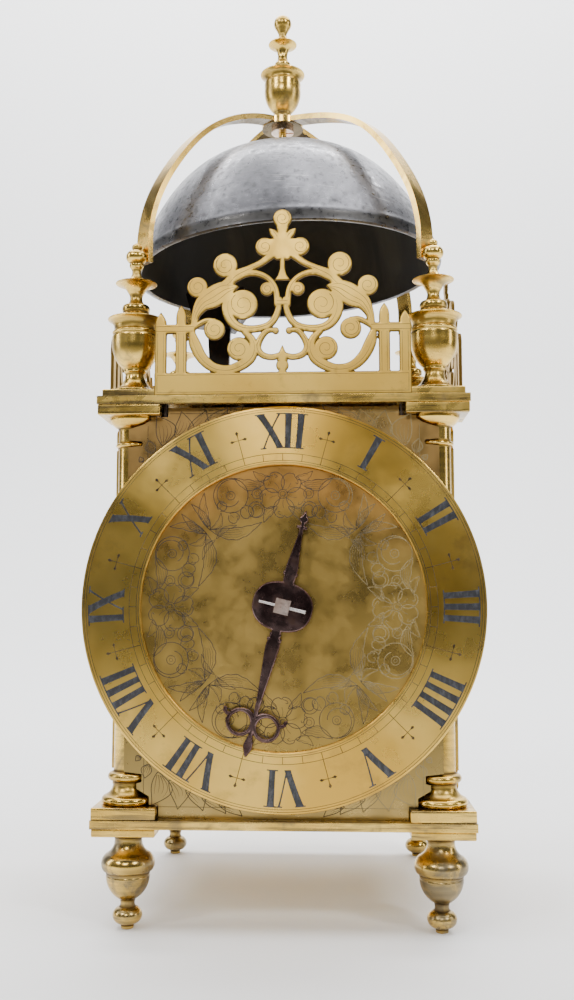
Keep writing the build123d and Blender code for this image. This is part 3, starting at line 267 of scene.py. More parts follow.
# %% Brass of the case, feet, frets and cage
def brass(name, bright, deep, tarnish, tarnish_share=0.5, gloss=(0.16, 0.34), wobble_mm=0.12,
          edges_mm=0.0, streaks=0.0, painted_shade_below=0.0):
    """Brass whose colour drifts from bright to deep, with a film of tarnish over a share of
    it, level streaks left by the rolled plate or the lathe, and painted shade on what faces down."""
    m = Metal(name)
    drift = m.noise(28.0, 3.0, 0.5)
    film = m.noise(70.0, 5.0, 0.62, twist=0.6)
    specks = m.noise(900.0, 3.0, 0.6)
    groove = m.ramp(m.attribute("grime"), 0.05, 0.8)
    colour = m.blend(m.ramp(drift, 0.36, 0.66), bright, deep)
    filmed = m.ramp(film, 0.66 - 0.3 * tarnish_share, 0.80 - 0.2 * tarnish_share, 0.0, 0.85)
    colour = m.blend(filmed, colour, tarnish)
    level = m.noise(150.0, 6.0, 0.68, where=m.stretched((0.14, 0.14, 3.2)), twist=0.25)
    if streaks:
        dull = tuple(0.62 * c for c in tarnish)
        colour = m.blend(m.ramp(level, 0.45, 0.62, 0.0, streaks), colour, dull)
    # painted shade: faces that point down are darkened nearly to black, by the given amount
    if painted_shade_below:
        up = m.axes(m.add("ShaderNodeNewGeometry").outputs["Normal"])[2]
        colour = m.blend(m.ramp(up, -0.75, -0.35, painted_shade_below, 0.0), colour, (0.035, 0.025, 0.015))
    colour = m.blend(m.ramp(specks, 0.64, 0.74, 0.0, 0.35), colour, tuple(0.45 * c for c in tarnish))
    colour = m.blend(m.maths("MULTIPLY", groove, 0.85), colour, (0.060, 0.032, 0.010))
    low, high = gloss
    roughness = m.ramp(film, 0.35, 0.75, low, high)
    roughness = m.maths("ADD", roughness, m.maths("MULTIPLY", groove, 0.25))
    edge = m.rounded_edges(edges_mm) if edges_mm else None
    normal = m.bump(m.noise(55.0, 2.0, 0.5), wobble_mm, 0.55, edge)
    if streaks:
        normal = m.bump(level, 0.05, 0.5, normal)
    polish = m.noise(1400.0, 2.0, 0.5, where=m.stretched((1.0, 1.0, 0.16)))
    return m.finish(colour, roughness, normal=m.bump(polish, 0.012, 0.5, normal))


GOLD, DEEP_GOLD, SMOKE = (0.84, 0.57, 0.135), (0.60, 0.375, 0.07), (0.24, 0.18, 0.09)
CASE = (GOLD, DEEP_GOLD, SMOKE, 0.4)
case_brass = brass("case_brass", *CASE, (0.22, 0.42), edges_mm=0.45, streaks=0.85)
plate_brass = brass("plate_brass", (0.80, 0.53, 0.12), DEEP_GOLD, SMOKE, 0.5, (0.28, 0.46),
                    edges_mm=0.45, streaks=0.12)
turned_brass = brass("turned_brass", *CASE, (0.20, 0.36), streaks=0.35)
block_brass = brass("block_brass", *CASE, (0.22, 0.42), streaks=0.85)
foot_brass = brass("foot_brass", (0.74, 0.49, 0.12), (0.40, 0.265, 0.065), (0.16, 0.14, 0.10), 0.85,
                   (0.20, 0.38), streaks=0.35)
fret_brass = brass("fret_brass", (0.72, 0.475, 0.10), (0.62, 0.385, 0.07), (0.38, 0.25, 0.06), 0.2,
                   (0.34, 0.50), 0.06)
# the cage straps get painted shade on their undersides
strap_brass = brass("strap_brass", (0.86, 0.58, 0.16), (0.66, 0.42, 0.095), (0.30, 0.21, 0.09), 0.3,
                    (0.18, 0.36), painted_shade_below=0.9)
wheel_brass = brass("wheel_brass", (0.74, 0.47, 0.11), (0.54, 0.33, 0.07), SMOKE, 0.4, (0.28, 0.45), 0.02)
print("brasses:", 8)

# %% [markdown]
# ## Iron, steel, bell metal and copper
# The movement and the hammer are forged iron, dark with a scale that never shines. The
# hand is iron too, filed and browned. The bell is cast from a tin-rich bronze that dulls
# to a pewter grey, and years of dusting have left fine scratches round it.

# %% The darker metals
def iron(name, colour, worn, roughness=(0.38, 0.6), scale=260.0, depth_mm=0.06):
    m = Metal(name)
    scale_noise = m.noise(scale, 6.0, 0.6)
    patch = m.noise(45.0, 4.0, 0.6)
    tone = m.blend(m.ramp(patch, 0.42, 0.68), colour, worn)
    tone = m.blend(m.ramp(scale_noise, 0.55, 0.7, 0.0, 0.5), tone, (0.10, 0.055, 0.035))
    dull = m.ramp(scale_noise, 0.3, 0.7, *roughness)
    return m.finish(tone, dull, normal=m.bump(scale_noise, depth_mm, 0.6))


def bell_metal(name, inside):
    m = Metal(name)
    cloud = m.noise(16.0, 6.0, 0.65, twist=0.8)
    fine = m.noise(300.0, 4.0, 0.65)
    scratches = m.noise(160.0, 3.0, 0.6, where=m.stretched((0.35, 0.35, 6.0)))
    if inside:
        colour = m.blend(m.ramp(cloud, 0.4, 0.65), (0.012, 0.010, 0.007), (0.034, 0.029, 0.018))
        return m.finish(colour, 0.75, metallic=0.3, normal=m.bump(fine, 0.05, 0.5))
    colour = m.blend(m.ramp(cloud, 0.38, 0.66), (0.105, 0.105, 0.115), (0.25, 0.25, 0.27))
    colour = m.blend(m.ramp(fine, 0.54, 0.66, 0.0, 0.6), colour, (0.07, 0.07, 0.075))
    colour = m.blend(m.ramp(scratches, 0.62, 0.72, 0.0, 0.35), colour, (0.45, 0.45, 0.46))
    colour = m.blend(m.attribute("grime"), colour, (0.06, 0.058, 0.055))
    roughness = m.ramp(fine, 0.35, 0.65, 0.26, 0.46)
    normal = m.bump(scratches, 0.03, 0.5, m.bump(fine, 0.09, 0.7))
    return m.finish(colour, roughness, metallic=0.9, normal=normal)


dark_iron = iron("dark_iron", (0.035, 0.030, 0.028), (0.075, 0.060, 0.050))
hand_iron = iron("hand_iron", (0.055, 0.030, 0.028), (0.20, 0.13, 0.12), (0.16, 0.36), 120.0, 0.04)
steel = iron("steel", (0.52, 0.50, 0.48), (0.36, 0.33, 0.31), (0.2, 0.4), 400.0, 0.01)
rusty_steel = iron("rusty_steel", (0.42, 0.34, 0.30), (0.30, 0.20, 0.15), (0.35, 0.6), 700.0, 0.04)
bell_outside = bell_metal("bell_outside", inside=False)
bell_inside = bell_metal("bell_inside", inside=True)
copper = brass("copper", (0.92, 0.74, 0.60), (0.80, 0.54, 0.40), (0.45, 0.26, 0.16), 0.3, (0.25, 0.45))

# %% [markdown]
# ## Turned pieces
# Feet, pillars and finials were turned on a lathe, so each is one profile swept round its
# axis. The profile is given as cuts and arcs, as on the turner's drawing, then sampled
# finely, and its arrises are softened the way decades of polishing do.

# %% Lathe
def sampled_profile(steps, spacing=0.25, soften=2):
    """Points (r, z) along a profile. A step (r, z) is a straight cut to there and a step
    (r_mid, z_mid, r, z) an arc through its middle point; arcs follow their circle's angle."""
    points = [np.array(steps[0], float)]
    for step in steps[1:]:
        a, b = points[-1], np.array(step[-2:], float)
        if len(step) == 2:
            count = max(2, int(np.hypot(*(b - a)) / spacing) + 1)
            share = np.linspace(0, 1, count)[1:, None]
            points.extend(a + (b - a) * share)
            continue
        m = np.array(step[:2], float)
        d = 2 * (a[0] * (m[1] - b[1]) + m[0] * (b[1] - a[1]) + b[0] * (a[1] - m[1]))
        sa, sm, sb = a @ a, m @ m, b @ b
        centre = np.array([sa * (m[1] - b[1]) + sm * (b[1] - a[1]) + sb * (a[1] - m[1]),
                           sa * (b[0] - m[0]) + sm * (a[0] - b[0]) + sb * (m[0] - a[0])]) / d
        radius = np.hypot(*(a - centre))
        start, middle, end = (np.arctan2(p[1] - centre[1], p[0] - centre[0]) for p in (a, m, b))
        middle, end = start + (middle - start) % TAU, start + (end - start) % TAU
        if middle > end:
            end -= TAU
        count = max(4, int(abs(end - start) * radius / spacing) + 1)
        angle = np.linspace(start, end, count)[1:]
        points.extend(centre + radius * np.stack([np.cos(angle), np.sin(angle)], -1))
    points = np.array(points)
    for _ in range(soften):
        points[1:-1] = 0.25 * points[:-2] + 0.5 * points[1:-1] + 0.25 * points[2:]
    return points


def hollows(profile, reach=7):
    """How deep each profile point lies in a hollow, 0 to 1: its distance behind the mean
    of its neighbours, measured towards the metal's outside."""
    pad = np.pad(profile, ((reach, reach), (0, 0)), mode="edge")
    mean = np.mean([pad[i:i + len(profile)] for i in range(2 * reach + 1)], axis=0)
    along = np.gradient(profile, axis=0)
    outward = np.stack([along[:, 1], -along[:, 0]], -1)
    outward /= np.linalg.norm(outward, axis=1, keepdims=True) + 1e-9
    return np.clip(((mean - profile) * outward).sum(1) / 0.55, 0, 1)


def lathe(steps, centre, columns=72, base_z=0.0):
    """A closed shell: the profile swept round the upright axis through centre."""
    profile = sampled_profile(steps)
    angle = np.linspace(0, TAU, columns, endpoint=False)
    r, z = profile[:, :1], profile[:, 1:] + base_z
    points = np.stack([centre[0] + r * np.cos(angle), centre[1] + r * np.sin(angle), z + 0 * angle], -1)
    grime = np.repeat(hollows(profile), columns)
    return points.reshape(-1, 3), grid_faces(len(profile), columns, wrap_cols=True), grime


def rounded_block(low, high, radius=0.5, rings=3):
    """A box with rounded edges: points of a cube's faces are pulled onto a ball of the
    given radius that rolls inside the corners, p = inner + radius * direction."""
    low, high = np.array(low, float), np.array(high, float)
    half, middle = (high - low) / 2, (high + low) / 2
    turn = np.tan(np.linspace(-np.pi / 4, 0, rings + 1))
    shells = []
    for axis in range(3):
        u, v = (axis + 1) % 3, (axis + 2) % 3
        lines = []
        for k in (u, v):
            edge = -(half[k] - radius) + radius * turn
            lines.append(np.concatenate([edge, np.linspace(edge[-1], -edge[-1], 8)[1:-1], -edge[::-1]]))
        grid_u, grid_v = np.meshgrid(*lines, indexing="ij")
        for side in (-1, 1):
            q = np.zeros(grid_u.shape + (3,))
            q[..., u], q[..., v], q[..., axis] = grid_u, grid_v, side * half[axis]
            inner = np.clip(q, -(half - radius), half - radius)
            away = q - inner
            p = inner + radius * away / np.linalg.norm(away, axis=-1, keepdims=True) + middle
            shells.append((p.reshape(-1, 3), grid_faces(*grid_u.shape), None))
    return join_shells(shells)


# %% [markdown]
# The foot's square block carries a ball, a cup and a bulb that narrows to a small toe. The
# pillar has a base, two rings and a capital between its square ends. The finial is a
# covered urn with a ball and tip. Sizes match the CAD model, whose nodes they stand for.

# %% Feet, pillars and finials
PILLAR_AT, FLOOR_Z, ROOF_Z, TOP_Z, PLATE_EDGE = 63.5, 44.9, 212.9, 216.3, 76.8
FOOT = ((0, 0), (2.6, 0), (2.6, 1.5), (3.2, 1.9), (6.0, 5.0, 3.2, 8.6), (2.9, 10.0, 3.3, 11.6),
        (7.2, 15.2, 8.9, 20.4), (9.0, 21.0), (8.6, 21.3), (9.0, 21.6), (9.0, 22.5), (10.1, 23.1),
        (10.9, 25.8, 9.4, 29.2), (9.1, 29.5), (6.6, 31.6, 5.6, 34.4), (5.5, 35.4), (5.9, 36.6), (8.6, 37.4),
        (8.6, 38.4))
PILLAR = ((10.0, 4.7), (11.1, 6.5, 9.8, 8.2), (7.5, 10.0, 6.6, 13.8), (7.2, 14.0), (8.7, 15.7, 7.2, 17.4),
          (6.35, 17.9), (6.35, 151.2), (7.6, 152.1, 6.35, 153.0), (6.35, 159.2), (9.0, 161.0, 10.2, 162.7),
          (10.2, 163.7))
FINIAL = ((9.9, 3.1), (10.1, 4.2), (6.2, 6.4, 4.2, 10.4), (4.0, 11.6), (4.9, 12.6), (4.7, 13.4),
          (8.7, 18.8, 9.9, 24.5), (10.0, 27.8), (9.5, 28.2), (9.5, 28.8), (10.0, 29.2), (9.9, 29.8),
          (9.1, 30.4), (9.1, 31.6), (9.8, 33.6, 11.9, 35.0), (11.9, 35.5), (8.0, 36.6), (5.4, 38.4),
          (5.9, 40.0, 5.4, 41.6),
          (3.8, 42.0), (2.6, 44.7, 3.6, 47.4), (5.4, 49.8, 8.9, 51.0), (8.9, 51.4), (4.2, 52.4, 1.9, 55.6),
          (1.9, 57.2), (2.9, 58.6), (3.2, 59.6), (2.6, 60.4), (4.6, 63.3, 2.4, 65.9), (1.7, 66.4),
          (2.2, 67.6, 1.2, 68.8), (0.4, 69.5), (0, 69.5))
CORNERS = [(f"{depth}_{side}", x, y) for depth, y in (("front", -PILLAR_AT), ("rear", PILLAR_AT))
           for side, x in (("left", -PILLAR_AT), ("right", PILLAR_AT))]


def square(x, y, half, z_low, z_high, radius=0.55):
    return rounded_block((x - half, y - half, z_low), (x + half, y + half, z_high), radius)


def turned_piece(name, shapes, metal, node):
    """A turned shaft, the first shape, with square blocks of rolled plate, the others."""
    blocks = join_shells(shapes[1:])
    return make_piece(name, [shapes[0], blocks], (metal, block_brass), nodes=[node])


for place, x, y in CORNERS:
    foot = [lathe(FOOT, (x, y)), square(x, y, 12.75, 38.3, 41.5)]
    turned_piece(f"turned_foot_{place}", foot, foot_brass, f"foot_{place}")
    shaft = [lathe(PILLAR, (x, y), base_z=FLOOR_Z), square(x, y, 13.0, FLOOR_Z, FLOOR_Z + 4.8),
             square(x, y, 13.0, ROOF_Z - 4.4, ROOF_Z)]
    turned_piece(f"turned_pillar_{place}", shaft, turned_brass, f"pillar_{place}")
    finial = [lathe(FINIAL, (x, y), base_z=TOP_Z), square(x, y, 11.5, TOP_Z, TOP_Z + 3.2)]
    turned_piece(f"turned_finial_{place}", finial, turned_brass, f"finial_{place}")
print("corners:", [place for place, _, _ in CORNERS])

# %% [markdown]
# ## Bell and top finial
# The bell was cast and turned. It is full at the mouth and flattened at the crown, where a
# screw holds it under the cage. It leans a little, and its inside is left black. The top
# finial is the nut of that screw, turned to match the corner finials.

# %% Bell and top finial
CROWN = np.array([-3.8, 1.5, 366.3])
BELL_TOP, BELL_R, BELL_H, BELL_WALL, BELL_LEAN = 351.3, 74.6, 59.5, 2.9, math.radians(-2.8)
TOP_FINIAL = ((0, 3.2), (6.0, 3.2), (5.6, 3.8), (4.3, 4.8), (3.8, 7.4), (4.2, 7.8), (4.2, 8.6), (4.9, 9.4),
              (8.0, 14.0, 9.0, 20.5), (9.05, 23.8), (8.6, 24.4), (8.6, 25.2), (9.2, 26.8, 11.1, 28.2),
              (11.1, 28.6), (7.6, 29.8), (4.2, 32.0), (3.9, 33.4), (4.0, 34.4), (2.9, 35.4),
              (2.4, 38.2, 3.0, 41.2), (4.6, 43.1, 7.1, 44.2), (7.1, 44.7), (4.0, 46.0, 2.1, 48.6),
              (2.0, 50.2), (3.6, 53.2), (3.9, 53.6), (4.4, 56.0, 2.6, 59.0), (0.4, 59.6), (0, 59.6))


def leaned(points):
    """Points turned about the bell's crown, so that its right side hangs higher."""
    x, z = points[:, 0], points[:, 2] - BELL_TOP
    c, s = math.cos(BELL_LEAN), math.sin(BELL_LEAN)
    return np.stack([CROWN[0] + x * c + z * s, CROWN[1] + points[:, 1], BELL_TOP - x * s + z * c], -1)


def bell_profile(r, h, count=70):
    """From mouth to crown: r(s) = r * (1 - s^1.2)^(1/3) at the height share s."""
    s = np.sin(np.linspace(0, np.pi / 2, count)) ** 1.15
    return np.stack([r * (1 - s ** 1.2) ** (1 / 3), BELL_TOP - BELL_H + h * s], -1)


def swept(profile, columns, grime):
    angle = np.linspace(0, TAU, columns, endpoint=False)
    r, z = profile[:, :1], profile[:, 1:]
    points = np.stack([r * np.cos(angle), r * np.sin(angle), z + 0 * angle], -1).reshape(-1, 3)
    return points, grid_faces(len(profile), columns, wrap_cols=True), grime


outer = bell_profile(BELL_R, BELL_H)
outer[:, 0] += 0.35 * np.exp(-((outer[:, 1] - outer[0, 1] - 5.0) / 1.1) ** 2)
inner = bell_profile(BELL_R - BELL_WALL, BELL_H - BELL_WALL)
across = np.linspace(0, 1, 7)
lip = inner[0] + (outer[0] - inner[0]) * across[:, None]
lip[:, 1] -= 0.45 * np.sin(np.pi * across)
shells = []
skin = np.concatenate([lip, outer[1:]])
for profile in (skin, inner[::-1]):
    band = 0.9 * np.exp(-((profile[:, 1] - outer[0, 1] - 2.5) / 2.6) ** 4)
    points, faces, grime = swept(profile, 144, np.repeat(band, 144))
    shells.append((leaned(points), faces, grime))
make_piece("cast_bell", shells, (bell_outside, bell_inside), nodes=["bell"], sharp=50)
print("bell across in mm:", 2 * BELL_R)

screw = ((0, -26.5), (2.0, -26.5), (2.0, 3.4), (0, 3.4))
top_finial = [lathe(TOP_FINIAL, CROWN[:2], base_z=CROWN[2]), lathe(screw, CROWN[:2], 24, base_z=CROWN[2])]
make_piece("turned_top_finial", top_finial, turned_brass, nodes=["top_finial"])

# %% [markdown]
# ## Cut plates
# The frets and the hand were sawn from plate and filed. Each is drawn as a signed distance:
# a number that is negative inside the metal and says how far the outline is. Bars and discs
# join by taking the smallest distance. A fine grid is laid over the drawing, its rim is
# pulled onto the outline along the slope of the distance, and the edges are eased.

# %% Signed distances
def circle(x, z, cx, cz, r):
    return np.hypot(x - cx, z - cz) - r


def rectangle(x, z, x_low, x_high, z_low, z_high):
    dx = np.maximum(x_low - x, x - x_high)
    dz = np.maximum(z_low - z, z - z_high)
    return np.hypot(np.maximum(dx, 0), np.maximum(dz, 0)) + np.minimum(np.maximum(dx, dz), 0)


def polygon(x, z, corners):
    """Signed distance to a polygon: nearest edge, with the sign from counted crossings."""
    d, inside = np.full(x.shape, np.inf), np.zeros(x.shape, bool)
    for (ax, az), (bx, bz) in zip(corners, corners[1:] + corners[:1]):
        ex, ez = bx - ax, bz - az
        t = np.clip(((x - ax) * ex + (z - az) * ez) / (ex * ex + ez * ez), 0, 1)
        d = np.minimum(d, np.hypot(x - ax - t * ex, z - az - t * ez))
        if az != bz:
            inside ^= ((az > z) != (bz > z)) & (x < ex * (z - az) / ez + ax)
    return np.where(inside, -d, d)


def smooth_line(points, per_span=6):
    """A Catmull-Rom curve through points: each span is a cubic that passes through them."""
    p = np.array(points, float)
    p = np.concatenate([[2 * p[0] - p[1]], p, [2 * p[-1] - p[-2]]])
    t = np.linspace(0, 1, per_span, endpoint=False)[:, None]
    spans = []
    for a, b, c, d in zip(p, p[1:], p[2:], p[3:]):
        bend, twist = 2 * a - 5 * b + 4 * c - d, 3 * b - a - 3 * c + d
        spans.append(0.5 * (2 * b + (c - a) * t + bend * t ** 2 + twist * t ** 3))
    return np.concatenate(spans + [p[-2:-1]])


def bar(x, z, points):
    """A bent bar of changing width: points are (x, z, half width) along its middle."""
    line = smooth_line(points)
    d = np.full(x.shape, np.inf)
    for (ax, az, aw), (bx, bz, bw) in zip(line, line[1:]):
        ex, ez = bx - ax, bz - az
        t = np.clip(((x - ax) * ex + (z - az) * ez) / (ex * ex + ez * ez + 1e-12), 0, 1)
        d = np.minimum(d, np.hypot(x - ax - t * ex, z - az - t * ez) - aw - t * (bw - aw))
    return d


def cut_plate(drawing, x_range, z_range, step, thick, ease, rise=None):
    """A closed plate: front face at y 0 and back at y thick, for drawing(x, z) below zero.
    The front drops by ease at its rim on a quarter circle, and stands proud by rise(x, z)."""
    x, z = np.meshgrid(np.arange(*x_range, step), np.arange(*z_range, step), indexing="ij")
    d = drawing(x, z)
    keep = d < 0.5 * step
    slope_x, slope_z = np.gradient(d, step)
    size = np.hypot(slope_x, slope_z) + 1e-9
    pull = np.where(keep & (d > -0.5 * step), d / size, 0)
    x, z = x - pull * slope_x / size, z - pull * slope_z / size
    depth = np.clip(-np.where(pull != 0, 0, d), 0, None)
    drop = ease * (1 - np.sqrt(np.clip(1 - (1 - np.clip(depth / ease, 0, 1)) ** 2, 0, 1)))
    front = drop - (0 if rise is None else rise(x, z))
    rows, cols = x.shape
    number = np.arange(rows * cols).reshape(rows, cols)
    a, b, c, e = (k[sl] for k, sl in ((number, np.s_[:-1, :-1]), (number, np.s_[1:, :-1]),
                                     (number, np.s_[1:, 1:]), (number, np.s_[:-1, 1:])))
    ring = np.stack([a, b, c, e], -1).reshape(-1, 4)
    inside = keep.ravel()[ring]
    faces = [ring[inside.all(1)]]
    for k in range(4):
        three = ring[(inside.sum(1) == 3) & ~inside[:, k]]
        others = [(k + 1) % 4, (k + 2) % 4, (k + 3) % 4, (k + 3) % 4]
        faces.append(three[:, others])
    faces = np.concatenate(faces)
    used, faces = np.unique(faces, return_inverse=True)
    faces = faces.reshape(-1, 4)
    flat_x, flat_z, flat_y = x.ravel()[used], z.ravel()[used], front.ravel()[used]
    front_points = np.stack([flat_x, flat_y, flat_z], -1)
    back_points = np.stack([flat_x, np.full_like(flat_x, thick), flat_z], -1)
    edges = np.concatenate([faces[:, [i, (i + 1) % 4]] for i in range(4)])
    edges = edges[edges[:, 0] != edges[:, 1]]
    key = np.sort(edges, axis=1)
    _, first, count = np.unique(key, axis=0, return_index=True, return_counts=True)
    rim = edges[first[count == 1]]
    n = len(used)
    walls = np.stack([rim[:, 0], rim[:, 1], rim[:, 1] + n, rim[:, 0] + n], -1)
    grime = np.clip(1 - depth.ravel()[used] / 0.5, 0, 1)
    points = np.concatenate([front_points, back_points])
    return points, np.concatenate([faces, faces[:, ::-1] + n, walls]), np.concatenate([grime, grime])


# %% [markdown]
# ## The frets
# One drawing serves the front and, a little lower, the two sides: the half at the right of
# its axis is drawn and mirrored. Two posts and a rail stand at each end. A long leaf rises
# from the rail to an arm that carries the crest. Scrolls and a heart fill the middle. The
# band below is plain, with a border line.

# %% Fret drawing
# each bar of the half: its middle line, as x, z and half width
FRET_BARS = (
    ((36.7, 29.4, 1.5), (36.0, 33.8, 1.8), (33.2, 38.6, 3.2), (28.4, 41.6, 4.6), (24.0, 44.4, 3.6),
     (20.6, 45.2, 1.6), (18.4, 45.6, 0.3)),
    ((24.6, 45.6, 2.0), (22.0, 47.8, 2.2), (19.4, 50.6, 2.0), (14.0, 53.2, 1.4), (9.0, 55.6, 1.4),
     (5.0, 58.6, 1.6)),
    ((21.0, 48.6, 1.6), (15.0, 51.2, 1.4), (10.5, 51.2, 1.3), (6.2, 49.2, 1.2), (3.4, 45.8, 1.2),
     (2.4, 42.0, 1.3), (2.2, 38.0, 1.3)),
    ((1.2, 40.0, 1.2), (1.7, 36.0, 1.3), (2.9, 32.5, 1.4), (5.2, 29.6, 1.4), (8.4, 28.2, 1.4),
     (12.5, 27.6, 1.5), (16.8, 28.0, 1.7), (20.4, 30.2, 1.9), (22.7, 34.2, 2.1), (23.0, 38.5, 2.1),
     (21.3, 42.0, 1.6)),
    ((36.6, 28.4, 0.9), (34.5, 30.0, 1.1), (31.5, 31.4, 1.1), (28.2, 31.4, 0.9)),
    ((37.7, 26.6, 1.3), (36.3, 21.5, 2.4), (33.3, 15.7, 2.3), (28.5, 11.6, 2.0), (22.5, 10.6, 1.9),
     (17.5, 12.2, 2.1), (13.3, 15.3, 2.1), (11.8, 19.4, 1.8), (12.7, 23.2, 1.6), (15.6, 26.4, 1.3)),
    ((3.6, 27.2, 0.9), (6.5, 26.6, 1.1), (9.0, 23.6, 1.3), (10.2, 19.8, 1.4), (8.4, 16.8, 1.3),
     (4.5, 15.7, 1.2), (0.0, 16.6, 1.3)),
    ((1.2, 65.0, 1.2), (3.4, 68.0, 1.6), (5.4, 70.1, 0.3)),
)
FRET_CURLS = ((35.4, 45.6, 4.3), (23.8, 54.8, 5.1), (7.4, 62.5, 3.9), (6.4, 44.5, 2.9), (16.5, 38.0, 6.3),
              (28.2, 27.5, 4.4), (18.0, 19.3, 4.9), (2.8, 26.8, 1.4))
FRET_CREST = [(0, 73), (2.8, 72.2), (2.0, 68.5), (2.6, 66.0), (7.0, 66.0), (6.0, 59.0), (2.4, 56.9),
              (1.0, 57.0), (1.1, 53.0), (1.8, 50.3), (3.3, 48.2), (-3, 48.2), (-3, 73)]
FRET_HALF, FRET_BAND, RAIL_LOW, RAIL_HIGH = 53.0, 9.4, 26.0, 29.8
FRET_STEP, FRET_THICK, FRET_EASE = 0.4, 1.5, 0.35
TOP_BALL = (0, 74.6, 3.9)


def fret_drawing(x, z):
    """Signed distance of the whole fret, symmetric about x 0."""
    u = np.abs(x)
    d = rectangle(u, z, -1, FRET_HALF, 0, FRET_BAND)
    d = np.minimum(d, rectangle(u, z, FRET_HALF - 16.8, FRET_HALF, RAIL_LOW, RAIL_HIGH))
    for middle, width, tip in ((50.5, 4.8, 35.3), (42.0, 4.6, 38.2)):
        half = width / 2
        d = np.minimum(d, rectangle(u, z, middle - half, middle + half, FRET_BAND - 1, RAIL_LOW + 1))
        leaf = ((middle, RAIL_HIGH - 1, half - 0.2), (middle, tip - 4.2, half - 0.3),
                (middle, tip - 0.6, 0.3))
        d = np.minimum(d, bar(u, z, leaf))
    for points in FRET_BARS:
        d = np.minimum(d, bar(u, z, points))
    for cx, cz, r in FRET_CURLS + (TOP_BALL, (0, 12.2, 2.6)):
        d = np.minimum(d, circle(u, z, cx, cz, r))
    d = np.minimum(d, polygon(u, z, FRET_CREST))
    d = np.minimum(d, polygon(u, z, [(-2, 20.8), (0, 20.8), (1.4, 17.6), (2.2, 14.0), (-2, 14.0)]))
    d = np.minimum(d, rectangle(u, z, -1, 1.6, FRET_BAND - 1, 12.0))
    return np.minimum(d, rectangle(u, z, -1, 2.3, 37.4, 40.0))


def on_side(points, turn, face_y=-PLATE_EDGE + 0.2):
    """Points drawn for the front edge of the top plate, turned to another side of it."""
    c, s = round(math.cos(turn)), round(math.sin(turn))
    x, y = points[:, 0], points[:, 1] + face_y
    return np.stack([x * c - y * s, x * s + y * c, points[:, 2] + TOP_Z], -1)


FRET_SIDES = (("front", 0.0, 1.0), ("right", math.pi / 2, 0.9), ("left", -math.pi / 2, 0.9))
fret_points, fret_faces, fret_grime = cut_plate(fret_drawing, (-53.2, 53.4), (-0.2, 79.0), FRET_STEP,
                                                FRET_THICK, FRET_EASE)
for name, turn, tall in FRET_SIDES:
    points = on_side(fret_points * (1, 1, tall), turn)
    lugs = [rounded_block((at - 4.5, 1.2, 0.0), (at + 4.5, 6.0, 1.6), 0.3) for at in (-38, 38)]
    lugs = [(on_side(p, turn), f, g) for p, f, g in lugs]
    make_piece(f"sawn_fret_{name}", [(points, fret_faces, fret_grime)] + lugs, fret_brass,
               nodes=[f"fret_{name}"], sharp=35)
print("fret faces:", len(fret_faces))

# %% [markdown]
# The sawn scrolls were finished with the graver: a line winds into every curl, veins run
# along the leaves and bars, and two lines follow the rail, the posts and the plain band.

# %% Engraving on the frets
def cut_line(path, half, face_y, proud=0.03):
    """A closed strip along path, an array of (x, z), with a half width for each point."""
    path = np.asarray(path, float)
    half = np.broadcast_to(half, len(path))[:, None]
    along = np.gradient(path, axis=0)
    closed = np.allclose(path[0], path[-1])
    if closed:
        along[0] = along[-1] = path[1] - path[-2]
    along /= np.linalg.norm(along, axis=1, keepdims=True) + 1e-9
    across = np.stack([-along[:, 1], along[:, 0]], -1) * half
    rows = []
    for share, lift in ((-1, 0.02), (-0.45, -proud), (0.45, -proud), (1, 0.02)):
        flat = path + across * share
        rows.append(np.stack([flat[:, 0], np.full(len(path), face_y + lift), flat[:, 1]], -1))
    points = np.stack(rows, 1).reshape(-1, 3)
    faces = grid_faces(len(path), 4, wrap_cols=True)
    if not closed:
        last = 4 * (len(path) - 1)
        faces = np.concatenate([faces, [[0, 1, 2, 3], [last + 3, last + 2, last + 1, last]]])
    return points, faces, 0.0


def line_metal(name, dark, light):
    m = Metal(name)
    worn = m.ramp(m.noise(130.0, 4.0, 0.6), 0.42, 0.66)
    return m.finish(m.blend(worn, dark, light), 0.45, metallic=0.6)


cut_dark = line_metal("cut_line_dark", (0.05, 0.033, 0.015), (0.15, 0.095, 0.035))
cut_brown = line_metal("cut_line_brown", (0.12, 0.075, 0.025), (0.30, 0.20, 0.07))


def foliage_metal():
    """Graver cuts in the dial: dark brown, with a painted highlight that lightens them towards the right."""
    m = Metal("foliage_cut")
    wander = m.ramp(m.noise(50.0, 3.0, 0.5), 0.3, 0.7, -14 * MM, 14 * MM)
    # painted highlight: the cuts are lightened towards the right of the dial, along a wandering edge
    painted_highlight_share = m.ramp(m.maths("ADD", m.axes()[0], wander), 8 * MM, 48 * MM)
    return m.finish(m.blend(painted_highlight_share, (0.040, 0.025, 0.009), (0.25, 0.19, 0.08)), 0.6, metallic=0.0)


cut_foliage = foliage_metal()


def both_halves(path):
    return [path, path * (-1, 1)]


fret_lines = []
for cx, cz, r in FRET_CURLS[:7] + (TOP_BALL,):
    t = np.linspace(0, 1, int(16 * r))
    angle, radius = TAU * (0.1 + 1.5 * t), r * (0.80 - 0.62 * t)
    path = np.stack([cx + radius * np.sin(angle), cz + radius * np.cos(angle)], -1)
    fret_lines += [(line, 0.16 - 0.06 * t) for line in both_halves(path)[:1 if cx == 0 else 2]]
for points in FRET_BARS:
    middle = smooth_line(points)
    along = np.gradient(middle[:, :2], axis=0)
    along /= np.linalg.norm(along, axis=1, keepdims=True)
    across = np.stack([-along[:, 1], along[:, 0]], -1) * middle[:, 2:]
    share = np.linspace(0, 1, len(middle))
    for offset in ((-0.5, 0.05, 0.5) if middle[:, 2].max() > 3 else (0.2,)):
        path = (middle[:, :2] + across * offset)[3:-4]
        fret_lines += [(line, 0.12 * np.sin(np.pi * share[3:-4]) + 0.02) for line in both_halves(path)]
for level in (RAIL_LOW + 0.9, RAIL_HIGH - 0.9):
    fret_lines += [(line, 0.13) for line in both_halves(np.array([(FRET_HALF - 0.4, level), (36.6, level)]))]
